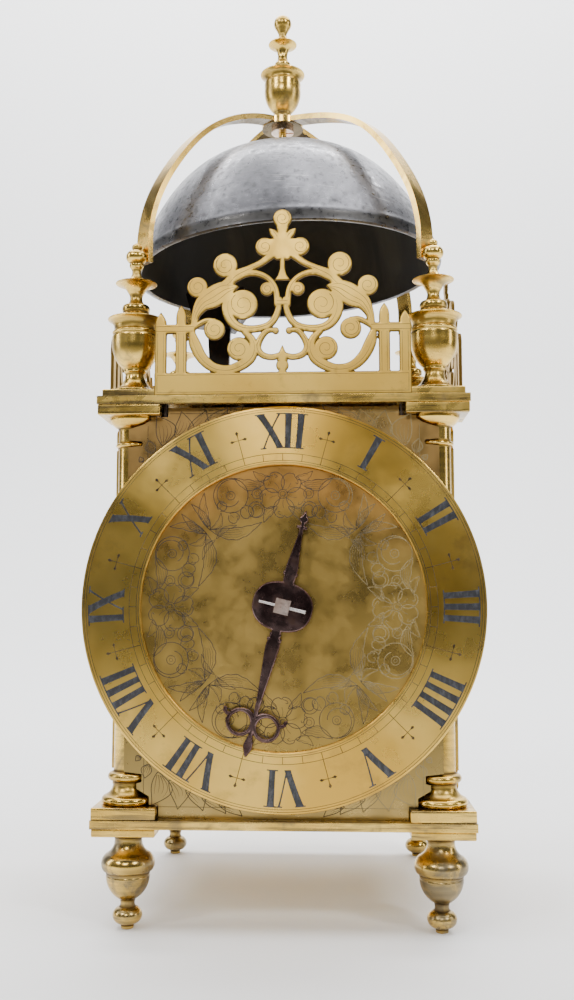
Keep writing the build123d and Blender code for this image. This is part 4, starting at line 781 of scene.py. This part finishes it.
for x in (49.3, 51.7, 40.9, 43.1):
    fret_lines += [(line, 0.11) for line in both_halves(np.array([(x, FRET_BAND), (x, RAIL_LOW)]))]
border = [(-FRET_HALF + 1.2, 1.2), (FRET_HALF - 1.2, 1.2), (FRET_HALF - 1.2, FRET_BAND - 1.0),
          (-FRET_HALF + 1.2, FRET_BAND - 1.0), (-FRET_HALF + 1.2, 1.2)]
for a, b in zip(border, border[1:]):
    fret_lines.append((np.array([a, b]), 0.12))
for level in (37.9, 39.3):
    fret_lines.append((np.array([(-2.2, level), (2.2, level)]), 0.13))
strips = [cut_line(path, half, 0.0) for path, half in fret_lines]
for name, turn, tall in FRET_SIDES:
    shells = [(on_side(points * (1, 1, tall), turn), faces, grime) for points, faces, grime in strips]
    make_piece(f"fret_engraving_{name}", shells, cut_brown, sharp=0)
print("lines on each fret:", len(strips))

# %% [markdown]
# ## The chapter ring
# A broad brass ring is riveted to the dial plate. It was finished on the lathe, so its
# grain runs round and throws bright wedges of light. Its edges are a little rounded.

# %% Chapter ring
DIAL_Z, DIAL_FACE, RING_FACE = 129.5, -71.3, -72.9
RING_R, RING_BORE = 82.5, 58.3


def spun(profile, columns=288, centre_z=DIAL_Z):
    """A closed shell: the profile (r, y) swept round the dial's axis, with its winding
    angle and radius as the piece's own map, so that the grain can run round it."""
    profile = np.array(profile, float)
    angle = np.linspace(0, TAU, columns, endpoint=False)
    r, y = profile[:, :1], profile[:, 1:]
    points = np.stack([r * np.sin(angle), y + 0 * r * angle, centre_z + r * np.cos(angle)], -1)
    round_map = np.stack([np.broadcast_to(angle / TAU, (len(profile), columns)),
                          np.broadcast_to(r / 100, (len(profile), columns))], -1)
    faces = grid_faces(len(profile), columns, wrap_cols=True)
    return points.reshape(-1, 3), faces, round_map.reshape(-1, 2)


ease = 0.25
ring_section = [(RING_BORE, DIAL_FACE)]
ring_section += [(RING_BORE + ease - ease * math.cos(a), RING_FACE + ease - ease * math.sin(a))
                 for a in np.linspace(0, np.pi / 2, 4)]
ring_section += [(r, RING_FACE) for r in np.linspace(RING_BORE + 1, RING_R - 1, 12)]
ring_section += [(RING_R - ease + ease * math.sin(a), RING_FACE + ease - ease * math.cos(a))
                 for a in np.linspace(0, np.pi / 2, 4)]
ring_section += [(RING_R, DIAL_FACE), (RING_BORE, DIAL_FACE)]


def ring_metal():
    """Lathe-finished brass: its shine is drawn out across fine circular scratches."""
    m = Metal("ring_brass")
    radius = m.axes(m.add("ShaderNodeTexCoord").outputs["UV"])[1]
    rings = m.add("ShaderNodeCombineXYZ")
    m.link(m.maths("MULTIPLY", radius, 100.0), rings.inputs[1])
    scratches = m.noise(14.0, 4.0, 0.7, where=rings.outputs[0])
    drift = m.noise(16.0, 4.0, 0.55)
    film = m.noise(60.0, 5.0, 0.6)
    colour = m.blend(m.ramp(drift, 0.38, 0.64), (0.84, 0.555, 0.125), (0.66, 0.395, 0.065))
    colour = m.blend(m.ramp(film, 0.55, 0.78, 0.0, 0.6), colour, (0.36, 0.22, 0.06))
    tangent = m.add("ShaderNodeTangent", direction_type="UV_MAP").outputs[0]
    normal = m.bump(scratches, 0.006, 0.5)
    roughness = m.ramp(film, 0.3, 0.7, 0.26, 0.36)
    return m.finish(colour, roughness, normal=normal, anisotropic=0.85, tangent=tangent)


ring_brass = ring_metal()
points, faces, ring_map = spun(ring_section)
make_piece("turned_chapter_ring", [(points, faces, None)], ring_brass, nodes=["chapter_ring"],
           sharp=50, uv=ring_map)
print("ring from", RING_BORE, "to", RING_R, "mm")

# %% [markdown]
# ## Numerals and tracks
# The numerals were cut with a graver and filled with black wax. Each is drawn upright about
# its own middle, with thick and thin strokes and long serifs, then bent to follow the ring.

# %% Numerals
WAX_LOW, WAX_HIGH = 65.0, 79.7
WAX_STEP, WAX_THICK, WAX_PROUD, WAX_EASE = 0.18, 0.05, 0.03, 0.02


def blade(x, z, x0, z0, x1, z1, half, flare=0.12):
    """A straight stroke whose half width grows by flare at its two ends, which are cut
    level, so that they follow the ring."""
    length = math.hypot(x1 - x0, z1 - z0)
    ux, uz = (x1 - x0) / length, (z1 - z0) / length
    along = (x - (x0 + x1) / 2) * ux + (z - (z0 + z1) / 2) * uz
    across = np.abs(-(x - (x0 + x1) / 2) * uz + (z - (z0 + z1) / 2) * ux)
    share = np.clip(np.abs(along) / (length / 2), 0, 1)
    level = np.abs(z - (z0 + z1) / 2) - abs(z1 - z0) / 2
    return np.maximum(across - half - flare * share ** 6, level)


LETTER_WIDTHS = {"I": 4.9, "V": 9.0, "X": 9.4}
THICK, THIN, SERIF = 1.3, 0.3, 0.24
# strokes of each letter: top x, bottom x and half width, then where its serifs start and end
LETTER_STROKES = {"I": ((0.0, 0.0, THICK),), "V": ((-4.0, 0.2, THICK), (3.9, 0.6, THIN)),
                  "X": ((-3.8, 3.8, THICK), (3.8, -3.8, THIN))}
LETTER_SERIFS = {"I": ((-2.5, 2.5, 1), (-2.5, 2.5, -1)), "V": ((-6.0, -2.1, 1), (2.6, 5.4, 1)),
                 "X": ((-5.7, -1.9, 1), (2.5, 5.2, 1), (-5.2, -2.5, -1), (1.9, 5.7, -1))}


def numeral_drawing(numeral):
    """The drawing of a numeral about its own middle, and its half width."""
    total = sum(LETTER_WIDTHS[c] for c in numeral)
    top = (WAX_HIGH - WAX_LOW) / 2

    def drawing(x, z):
        d, at = np.full(x.shape, np.inf), -total / 2
        for c in numeral:
            middle = at + LETTER_WIDTHS[c] / 2
            for x_top, x_low, half in LETTER_STROKES[c]:
                d = np.minimum(d, blade(x, z, middle + x_top, top, middle + x_low, -top, half))
            for start, end, side in LETTER_SERIFS[c]:
                edge = side * (top - SERIF)
                d = np.minimum(d, rectangle(x, z, middle + start, middle + end, edge - SERIF, edge + SERIF))
            at += LETTER_WIDTHS[c]
        return d
    return drawing, total / 2


def bent(points, hour, middle=(WAX_LOW + WAX_HIGH) / 2, face_y=RING_FACE):
    """Points drawn about a mark's own middle, bent round the ring to their hour."""
    angle = TAU * hour / 12 + points[:, 0] / middle
    r = middle + points[:, 2]
    return np.stack([r * np.sin(angle), points[:, 1] + face_y, DIAL_Z + r * np.cos(angle)], -1)


def wax_metal(name, colour, worn):
    """Black wax, greyer where it has been worn down to the floor of the cut."""
    m = Metal(name)
    grain = m.noise(520.0, 5.0, 0.7, where=m.stretched((1.0, 1.0, 0.5)))
    tone = m.blend(m.ramp(grain, 0.44, 0.68), colour, worn)
    return m.finish(tone, 0.38, metallic=0.0, normal=m.bump(grain, 0.12, 0.8))


black_wax = wax_metal("black_wax", (0.016, 0.016, 0.019), (0.060, 0.062, 0.070))
NUMERALS = ("XII", "I", "II", "III", "IIII", "V", "VI", "VII", "VIII", "IX", "X", "XI")
shells = []
for hour, numeral in enumerate(NUMERALS):
    drawing, half = numeral_drawing(numeral)
    tall = (WAX_HIGH - WAX_LOW) / 2 + 0.3
    points, faces, grime = cut_plate(drawing, (-half - 1.6, half + 1.6), (-tall, tall), WAX_STEP,
                                     WAX_THICK, WAX_EASE)
    points[:, 1] -= WAX_PROUD
    shells.append((bent(points, hour), faces, grime))
make_piece("waxed_numerals", shells, black_wax, sharp=60)
print("numerals:", len(NUMERALS), "faces:", sum(len(f) for _, f, _ in shells))

# %% [markdown]
# ## Cut lines
# Circles, ticks, half-hour marks and all the foliage are single strokes of the graver. Each
# is a thin roof-shaped strip along a curve, closed at its ends, that shows the line's
# colour and catches a little light along its ridge as the real cut does.

# %% Cut lines
def arc(r, start, end, count=None, centre=(0.0, DIAL_Z)):
    """Points on a circle about centre, from start to end in turns clockwise from the top."""
    angle = TAU * np.linspace(start, end, count or max(6, int(abs(end - start) * r * 5)))
    return np.stack([centre[0] + r * np.sin(angle), centre[1] + r * np.cos(angle)], -1)


def spoke(turn, r_low, r_high):
    direction = np.array([math.sin(TAU * turn), math.cos(TAU * turn)])
    return np.array([0, DIAL_Z]) + np.array([[r_low], [r_high]]) * direction


TRACK_LOW, TRACK_HIGH, CROSS_R, DART_R = 59.9, 62.8, 70.6, 74.4
lines = [cut_line(arc(r, 0, 1), half, RING_FACE) for r, half in
         ((81.5, 0.14), (80.5, 0.12), (TRACK_HIGH, 0.14), (TRACK_LOW, 0.14), (59.1, 0.10))]
for quarter in range(48):
    lines.append(cut_line(spoke(quarter / 48, TRACK_LOW, TRACK_HIGH), 0.16, RING_FACE))


def dart(tip, base, half=0.85):
    """A small barbed point: narrow at base, widest two thirds along, sharp at tip."""
    path = base + (tip - base) * np.array([0, 0.35, 0.6, 0.8, 1.0])[:, None]
    return cut_line(path, half * np.array([0.25, 0.55, 1.0, 0.7, 0.05]), RING_FACE)


for hour in range(12):
    turn = (hour + 0.5) / 12
    lines.append(cut_line(spoke(turn, TRACK_LOW, 73.0), 0.17, RING_FACE))
    lines.append(dart(spoke(turn, DART_R, DART_R)[0], spoke(turn, 72.4, 72.4)[0]))
    reach = 3.5 / CROSS_R / TAU
    lines.append(cut_line(arc(CROSS_R, turn - reach, turn + reach, 8), 0.16, RING_FACE))
    for side in (-1, 1):
        ends = arc(CROSS_R, turn + side * reach, turn + side * reach * 0.45, 2)
        lines.append(dart(ends[0], ends[1], 0.75))
make_piece("ring_tracks", lines, cut_dark, sharp=0)
print("track lines:", len(lines))

# %% [markdown]
# ## Foliage on the dial
# The dial plate was engraved with a band of flowers, round blooms and acanthus about a plain
# middle, and with lobed leaves in each corner. The layout here is my own, in the same
# manner: one eighth of the band is drawn and mirrored round. Small turns of the wrist keep
# the eight from being alike.

# %% Engraved motifs
wrist = np.random.default_rng(7)
CUT_WIDTH = 1.3    # how much wider the dial's cuts are than drawn


def polar(r, degrees):
    """A point at radius r from the dial's middle, clockwise from its top."""
    angle = math.radians(degrees)
    return np.array([r * math.sin(angle), r * math.cos(angle)])


def moved(lines, centre, spin=0.0):
    """Lines drawn about zero, spun and moved to centre."""
    c, s = math.cos(spin), math.sin(spin)
    return [(np.stack([p[:, 0] * c + p[:, 1] * s, -p[:, 0] * s + p[:, 1] * c], -1) + centre, half)
            for p, half in lines]


def ring_line(r, half=0.15, count=40, turns=1.0):
    """A circle, or with turns past one a line that winds inwards from it."""
    share = np.linspace(0, turns, count)
    reach = r * (1 - 0.62 * np.clip(share - 1, 0, None))
    return np.stack([reach * np.sin(TAU * share), reach * np.cos(TAU * share)], -1), half


def bloom(r):
    """A round bloom: an outer line that winds in once, and a small double eye."""
    return [ring_line(r, 0.17, 80, turns=1.75), ring_line(0.25 * r, 0.14), ring_line(0.1 * r, 0.1, 16)]


def petal(angle, size):
    """A round petal with a notch at its tip, a hooked fold and a vein, seen from its root."""
    outline = [(0.10, 0.16), (0.34, 0.34), (0.44, 0.62), (0.34, 0.90), (0.12, 1.0), (0.0, 0.93),
               (-0.12, 1.0), (-0.34, 0.90), (-0.44, 0.62), (-0.34, 0.34), (-0.10, 0.16)]
    fold = [(0.05, 0.92), (0.22, 0.84), (0.26, 0.74), (0.16, 0.74)]
    vein = [(0.0, 0.24), (0.03, 0.42), (0.0, 0.60)]
    cuts = ((outline, 0.17), (fold, 0.13), (vein, 0.09))
    return moved([(smooth_line(points) * size, half) for points, half in cuts], np.zeros(2), angle)


def flower(size):
    """Five petals about a coiled heart."""
    lines = [ring_line(0.2 * size, 0.14), ring_line(0.12 * size, 0.1, 30, turns=1.6)]
    for k in range(5):
        lines += petal(TAU * (k / 5 - 0.104 + wrist.uniform(-0.008, 0.008)), size * wrist.uniform(0.95, 1.03))
    return lines


def acanthus(start, tip, bend, fat, veins=3, half=0.16, lobes=3):
    """A leaf from start to tip, bent to one side, with lobed edges and veins between them
    that follow its flow and stop short of the tip."""
    t = np.linspace(0, 1, 22)[:, None]
    along = tip - start
    across = np.array([-along[1], along[0]])
    middle = start + along * t + across * bend * np.sin(np.pi * t)
    swell = across * fat * np.sin(np.pi * t ** 0.85) * (1 + 0.22 * np.abs(np.sin(lobes * np.pi * t)))
    lines = [(middle + swell, half), (middle - 0.75 * swell, half)]
    for share in np.linspace(-0.45, 0.6, veins):
        stop = int(len(t) * (0.62 + 0.22 * abs(share)))
        lines.append(((middle + share * swell)[2:stop], half * np.linspace(0.75, 0.25, stop - 2)))
    return lines


def eighth():
    """The band from the middle of a flower, at the top, half way round to the next."""
    w = wrist.uniform(-0.6, 0.6, 12)
    root = polar(43.5, 43.6)
    lines = moved(bloom(7.1 + 0.2 * w[0]), polar(50.4, 25.4 + 0.3 * w[1]), w[2])
    lines += moved([ring_line(2.1), ring_line(1.1, 0.1, 16)], polar(47.6, 12.9))
    lines += moved([ring_line(3.3, 0.16, 60, turns=2.0)], polar(41.2, 15.4), 2.4 + 0.4 * w[3])
    lines += moved(petal(0, 6.2), polar(45.2, 21.5 + w[4]), math.pi + 0.5)
    lines += moved(petal(0, 5.2), polar(44.6, 30.0 + w[5]), math.pi + 0.9)
    lines += moved(petal(0, 4.6), polar(47.0, 34.4), math.pi + 2.6)
    lines += acanthus(polar(41.0, 3.2), polar(35.3, 12.6 + w[6]), 0.12, 0.20, 3)
    lines += acanthus(polar(51.0, 8.6), polar(56.6, 21.0 + w[7]), -0.16, 0.17, 4)
    lines += acanthus(polar(53.2, 5.6), polar(57.0, 12.5), -0.2, 0.2, 2, 0.13)
    lines += acanthus(root, polar(35.6, 14.0 + w[8]), 0.13, 0.115, 4, 0.17, 5)
    lines += acanthus(root, polar(57.0, 35.0 + w[9]), -0.12, 0.12, 4)
    lines += acanthus(root, polar(56.6, 42.2 + 0.5 * w[10]), 0.06, 0.11, 3)
    lines += acanthus(root, polar(46.2, 33.5), 0.2, 0.16, 2, 0.13)
    lines += acanthus(polar(39.0, 44.6), polar(38.2, 30.0 + w[11]), -0.15, 0.10, 2, 0.12)
    return lines


def engraved(lines, quarter, flip):
    """Lines of the top eighth, mirrored if flip, turned to their quarter and cut."""
    side = -1 if flip else 1
    turned = moved([(path * (side, 1), half) for path, half in lines], np.zeros(2), TAU * quarter / 4)
    return [cut_line(path + (0, DIAL_Z), half * CUT_WIDTH, DIAL_FACE, 0.02) for path, half in turned]


# %% The band and the corners
band = []
for quarter in range(4):
    band += engraved(moved(flower(9.6), polar(46.2, 0)), quarter, False)
    for flip in (False, True):
        band += engraved(eighth(), quarter, flip)
make_piece("dial_foliage", band, cut_foliage, sharp=0)

# where each corner leaf leaves the ring, then its tip's angle and radius, its bend and width
CORNER_LEAVES = ((17.5, 11.0, 85.0, 0.10, 0.20), (23.0, 15.5, 85.6, 0.16, 0.26),
                 (28.0, 21.5, 87.6, 0.20, 0.30), (33.0, 27.6, 91.4, 0.22, 0.32),
                 (37.0, 33.6, 95.4, 0.16, 0.30), (40.5, 39.0, 88.6, -0.1, 0.34),
                 (43.5, 43.8, 86.0, -0.22, 0.36))
LEAF_ROOT = 83.2
corners = []
for sx in (-1, 1):
    for sz in (-1, 1):
        borders = (((56.2, 52.0), (56.2, 75.0)), ((18.0, 80.0), (51.0, 80.0)))
        lines = [(np.array(border), 0.12) for border in borders]
        for start, end, reach, bend, fat in CORNER_LEAVES:
            jitter = wrist.uniform(-0.5, 0.5)
            lines += acanthus(polar(LEAF_ROOT, start + jitter), polar(reach, end), bend, fat, 4, 0.19, 1)
        corners += [cut_line(path * (sx, sz) + (0, DIAL_Z), half * CUT_WIDTH, DIAL_FACE, 0.02)
                    for path, half in lines]
make_piece("corner_foliage", corners, cut_foliage, sharp=0)
print("engraved lines:", len(band) + len(corners))

# %% [markdown]
# ## The hand
# One iron hand tells the hour. It was filed from plate: an oval boss, a tail that ends in a
# ball, and a pointer with two open loops. It sits on the square of the hour arbor and a
# taper pin holds it.

# %% Hand
HAND_TURN, HAND_BACK = math.radians(194.0), -73.9
BOSS_ACROSS, BOSS_ALONG, POINTER, TAIL = 12.35, 10.1, 61.5, 40.0
LOOP_AT, LOOP_OUT, LOOP_R = 48.6, 5.5, 4.9
HAND_STEP, HAND_THICK, HAND_EASE = 0.22, 1.6, 0.6
BLADE = ((0, 8.1, 2.0), (0, 14.4, 2.2), (0, 16.7, 2.9), (0, 28.0, 2.0), (0, 39.5, 1.1), (0, LOOP_AT, 0.9),
         (0, POINTER - 8.6, 0.9), (0, POINTER - 4.4, 1.9), (0, POINTER - 0.6, 0.6))
STEM = ((0, -8.1, 2.0), (0, -14.8, 2.6), (0, -22.0, 1.8), (0, -31.0, 0.9), (0, 3.0 - TAIL, 0.9))
EAR = ((0.4, -2.6), (2.6, -4.8), (5.8, -5.0), (8.2, -3.8), (9.8, -2.3), (11.4, -2.3), (12.6, -3.4))


def hand_drawing(x, z):
    """Signed distance of the hand, pointing up, about its own centre."""
    u = np.abs(x)
    size = (np.abs(x / BOSS_ACROSS) ** 2.3 + np.abs(z / BOSS_ALONG) ** 2.3) ** (1 / 2.3)
    d = (size - 1) * BOSS_ALONG
    d = np.minimum(d, np.minimum(bar(x, z, BLADE), bar(x, z, STEM)))
    for at, half in ((11.8, 2.4), (13.6, 3.0), (-11.8, 2.4), (-13.6, 3.0), (7.0 - TAIL, 2.2)):
        d = np.minimum(d, rectangle(x, z, -half, half, at - 0.7, at + 0.7))
    d = np.minimum(d, np.abs(circle(u, z, LOOP_OUT, LOOP_AT, LOOP_R)) - 0.8)
    d = np.minimum(d, bar(u, z, [(across, LOOP_AT + up, 0.75) for across, up in EAR]))
    d = np.minimum(d, circle(u, z, 12.8, LOOP_AT - 3.7, 1.2))
    d = np.minimum(d, circle(x, z, 0, 3.6 - TAIL, 1.8))
    return np.minimum(d, bar(x, z, ((0, 2.6 - TAIL, 1.1), (0, 1.2 - TAIL, 0.6), (0, 0.2 - TAIL, 0.25))))


def boss_rise(x, z):
    """The boss is thicker than the rest and slopes to its rim."""
    size = np.hypot(x / BOSS_ACROSS, z / BOSS_ALONG)
    return 0.12 * np.clip((1 - size) / 0.25, 0, 1)


def hour_turned(points):
    """Points drawn pointing at twelve, turned clockwise to the hand's hour."""
    c, s = math.cos(HAND_TURN), math.sin(HAND_TURN)
    x, y, z = points.T
    return np.stack([x * c + z * s, y, DIAL_Z - x * s + z * c], -1)


points, faces, grime = cut_plate(hand_drawing, (-13, 13.2), (-TAIL - 0.4, POINTER + 0.6), HAND_STEP,
                                 HAND_THICK, HAND_EASE, boss_rise)
points[:, 1] += HAND_BACK - HAND_THICK
make_piece("filed_hand", [(hour_turned(points), faces, grime)], hand_iron, body="hour_motion",
           nodes=["hour_hand"], sharp=40)
print("hand faces:", len(faces))

# %% [markdown]
# ## Metals for the remaining nodes
# What the cells above don't replace keeps its CAD mesh and gets the metal of its slot.

# %% Finish the CAD nodes
def dial_metal():
    """Olive-gold engraved plate: coppery where the ring's upper edge shades it, and with
    broad vertical drifts of polish across its plain middle."""
    m = Metal("dial_brass")
    place = m.axes()
    x, z = place[0], m.maths("SUBTRACT", place[2], DIAL_Z * MM)
    away = m.maths("SQRT", m.maths("ADD", m.maths("MULTIPLY", x, x), m.maths("MULTIPLY", z, z)))
    drift = m.noise(24.0, 4.0, 0.55, where=m.stretched((1.0, 1.0, 0.3)), twist=0.2)
    film = m.noise(80.0, 5.0, 0.62)
    colour = m.blend(m.ramp(drift, 0.38, 0.62), (0.53, 0.35, 0.095), (0.42, 0.275, 0.07))
    colour = m.blend(m.ramp(film, 0.50, 0.80, 0.0, 0.22), colour, (0.32, 0.23, 0.085))
    above = m.maths("MULTIPLY", m.ramp(z, 12 * MM, 50 * MM), m.ramp(away, 30 * MM, 52 * MM))
    coppery = m.maths("MULTIPLY", above, m.ramp(drift, 0.25, 0.6, 0.40, 0.85))
    colour = m.blend(coppery, colour, (0.58, 0.29, 0.075))
    colour = m.blend(m.ramp(away, 60 * MM, 72 * MM, 0.0, 0.55), colour, (0.27, 0.205, 0.085))
    scratches = m.noise(420.0, 3.0, 0.6, where=m.stretched((2.0, 1.0, 0.12)))
    normal = m.bump(scratches, 0.012, 0.5, m.bump(m.noise(30.0, 2.0, 0.5), 0.07, 0.6))
    return m.finish(colour, m.ramp(film, 0.3, 0.7, 0.24, 0.40), normal=normal)


engraved_brass = dial_metal()
NODE_METALS = {"dial_plate": engraved_brass, "bell_cage": strap_brass, "cage_nut": copper,
               "hand_pin": steel, "hour_arbor": rusty_steel, "back_plate": plate_brass,
               "left_door": plate_brass, "right_door": plate_brass, "dial_pins": dark_iron,
               "hammer": dark_iron}
SLOT_METALS = {"case_brass": case_brass, "wheel_brass": wheel_brass, "iron": dark_iron, "steel": steel,
               "foot_brass": foot_brass, "fret_brass": fret_brass}
slots = {part["node"]: part["material_slot"] for part in frame["record"]["subparts"]}
for name, node in frame["nodes"].items():
    if node.hide_render:
        continue
    metal = NODE_METALS.get(name) or SLOT_METALS.get(slots.get(name, ""), case_brass)
    node.data.materials.clear()
    node.data.materials.append(metal)
print("slots:", sorted(set(slots.values())))

# %% [markdown]
# ## The studio
# The clock stands on a pale sweep of paper. Soft lamps stand left, right, above and behind.
# Three small ones in front draw the bright rays on the chapter ring. The room behind the
# camera stays dim, which gives the brass its dark reflections.

# %% Paper sweep, lamps and room
def paper():
    """White paper on a grey table that begins in front of it."""
    m = Metal("paper")
    colour = m.blend(m.ramp(m.axes()[1], -0.58, -0.36), (0.14, 0.14, 0.14), (0.93, 0.935, 0.945))
    return m.finish(colour, 0.9, metallic=0.0)


FRONT_Y, BEND_Y, BEND_R, WALL_Z, HALF_WIDE = -1.6, 1.0, 0.6, 3.0, 3.0
bend = np.linspace(0, np.pi / 2, 16)
curve = np.stack([BEND_Y + BEND_R * np.sin(bend), BEND_R - BEND_R * np.cos(bend)], -1)
profile = np.concatenate([[(FRONT_Y, 0.0)], curve, [(BEND_Y + BEND_R, WALL_Z)]])
wide = np.tile([-HALF_WIDE, HALF_WIDE], (len(profile), 1))
sweep = np.stack([wide, profile[:, :1] + 0 * wide, profile[:, 1:] + 0 * wide], -1).reshape(-1, 3)
mesh = bpy.data.meshes.new("paper_sweep")
mesh.from_pydata(sweep.tolist(), [], grid_faces(len(profile), 2).tolist())
mesh.shade_smooth()
mesh.materials.append(paper())
floor = bpy.data.objects.new("paper_sweep", mesh)
bpy.context.scene.collection.objects.link(floor)


def lamp(name, place, size, power, colour=(1.0, 1.0, 1.0), aim=(0.0, 0.0, 0.18)):
    """A soft rectangular lamp that looks at aim."""
    data = bpy.data.lights.new(name, "AREA")
    data.shape, data.size, data.size_y = "RECTANGLE", *size
    data.energy, data.color = power, colour
    light = bpy.data.objects.new(name, data)
    light.location = place
    away = np.array(place) - np.array(aim)
    light.rotation_euler = (math.acos(away[2] / np.linalg.norm(away)), 0, math.atan2(away[0], -away[1]))
    bpy.context.scene.collection.objects.link(light)
    return light


lamp("lamp_left", (-1.6, -0.2, 0.75), (0.30, 1.1), 8)
lamp("lamp_right", (1.6, -0.3, 0.6), (0.25, 0.9), 5, (1.0, 0.97, 0.92))
lamp("lamp_front", (-0.12, -1.5, 0.92), (0.40, 0.30), 6, (1.0, 0.98, 0.95))
lamp("lamp_upper_left", (-1.0, -1.2, 1.2), (0.22, 0.30), 9, (1.0, 0.98, 0.95))
lamp("lamp_upper_right", (1.05, -1.2, 1.15), (0.20, 0.30), 11, (1.0, 0.98, 0.95))
lamp("lamp_top", (0.0, -0.3, 1.7), (2.6, 0.8), 28)
lamp("lamp_back", (0.0, 0.7, 2.1), (2.6, 0.7), 92, aim=(0, 1.6, 0.6))

world = bpy.data.worlds.new("dim_room")
world.use_nodes = True
world.node_tree.nodes["Background"].inputs[0].default_value = (0.78, 0.84, 0.92, 1)
world.node_tree.nodes["Background"].inputs[1].default_value = 0.14
bpy.context.scene.world = world
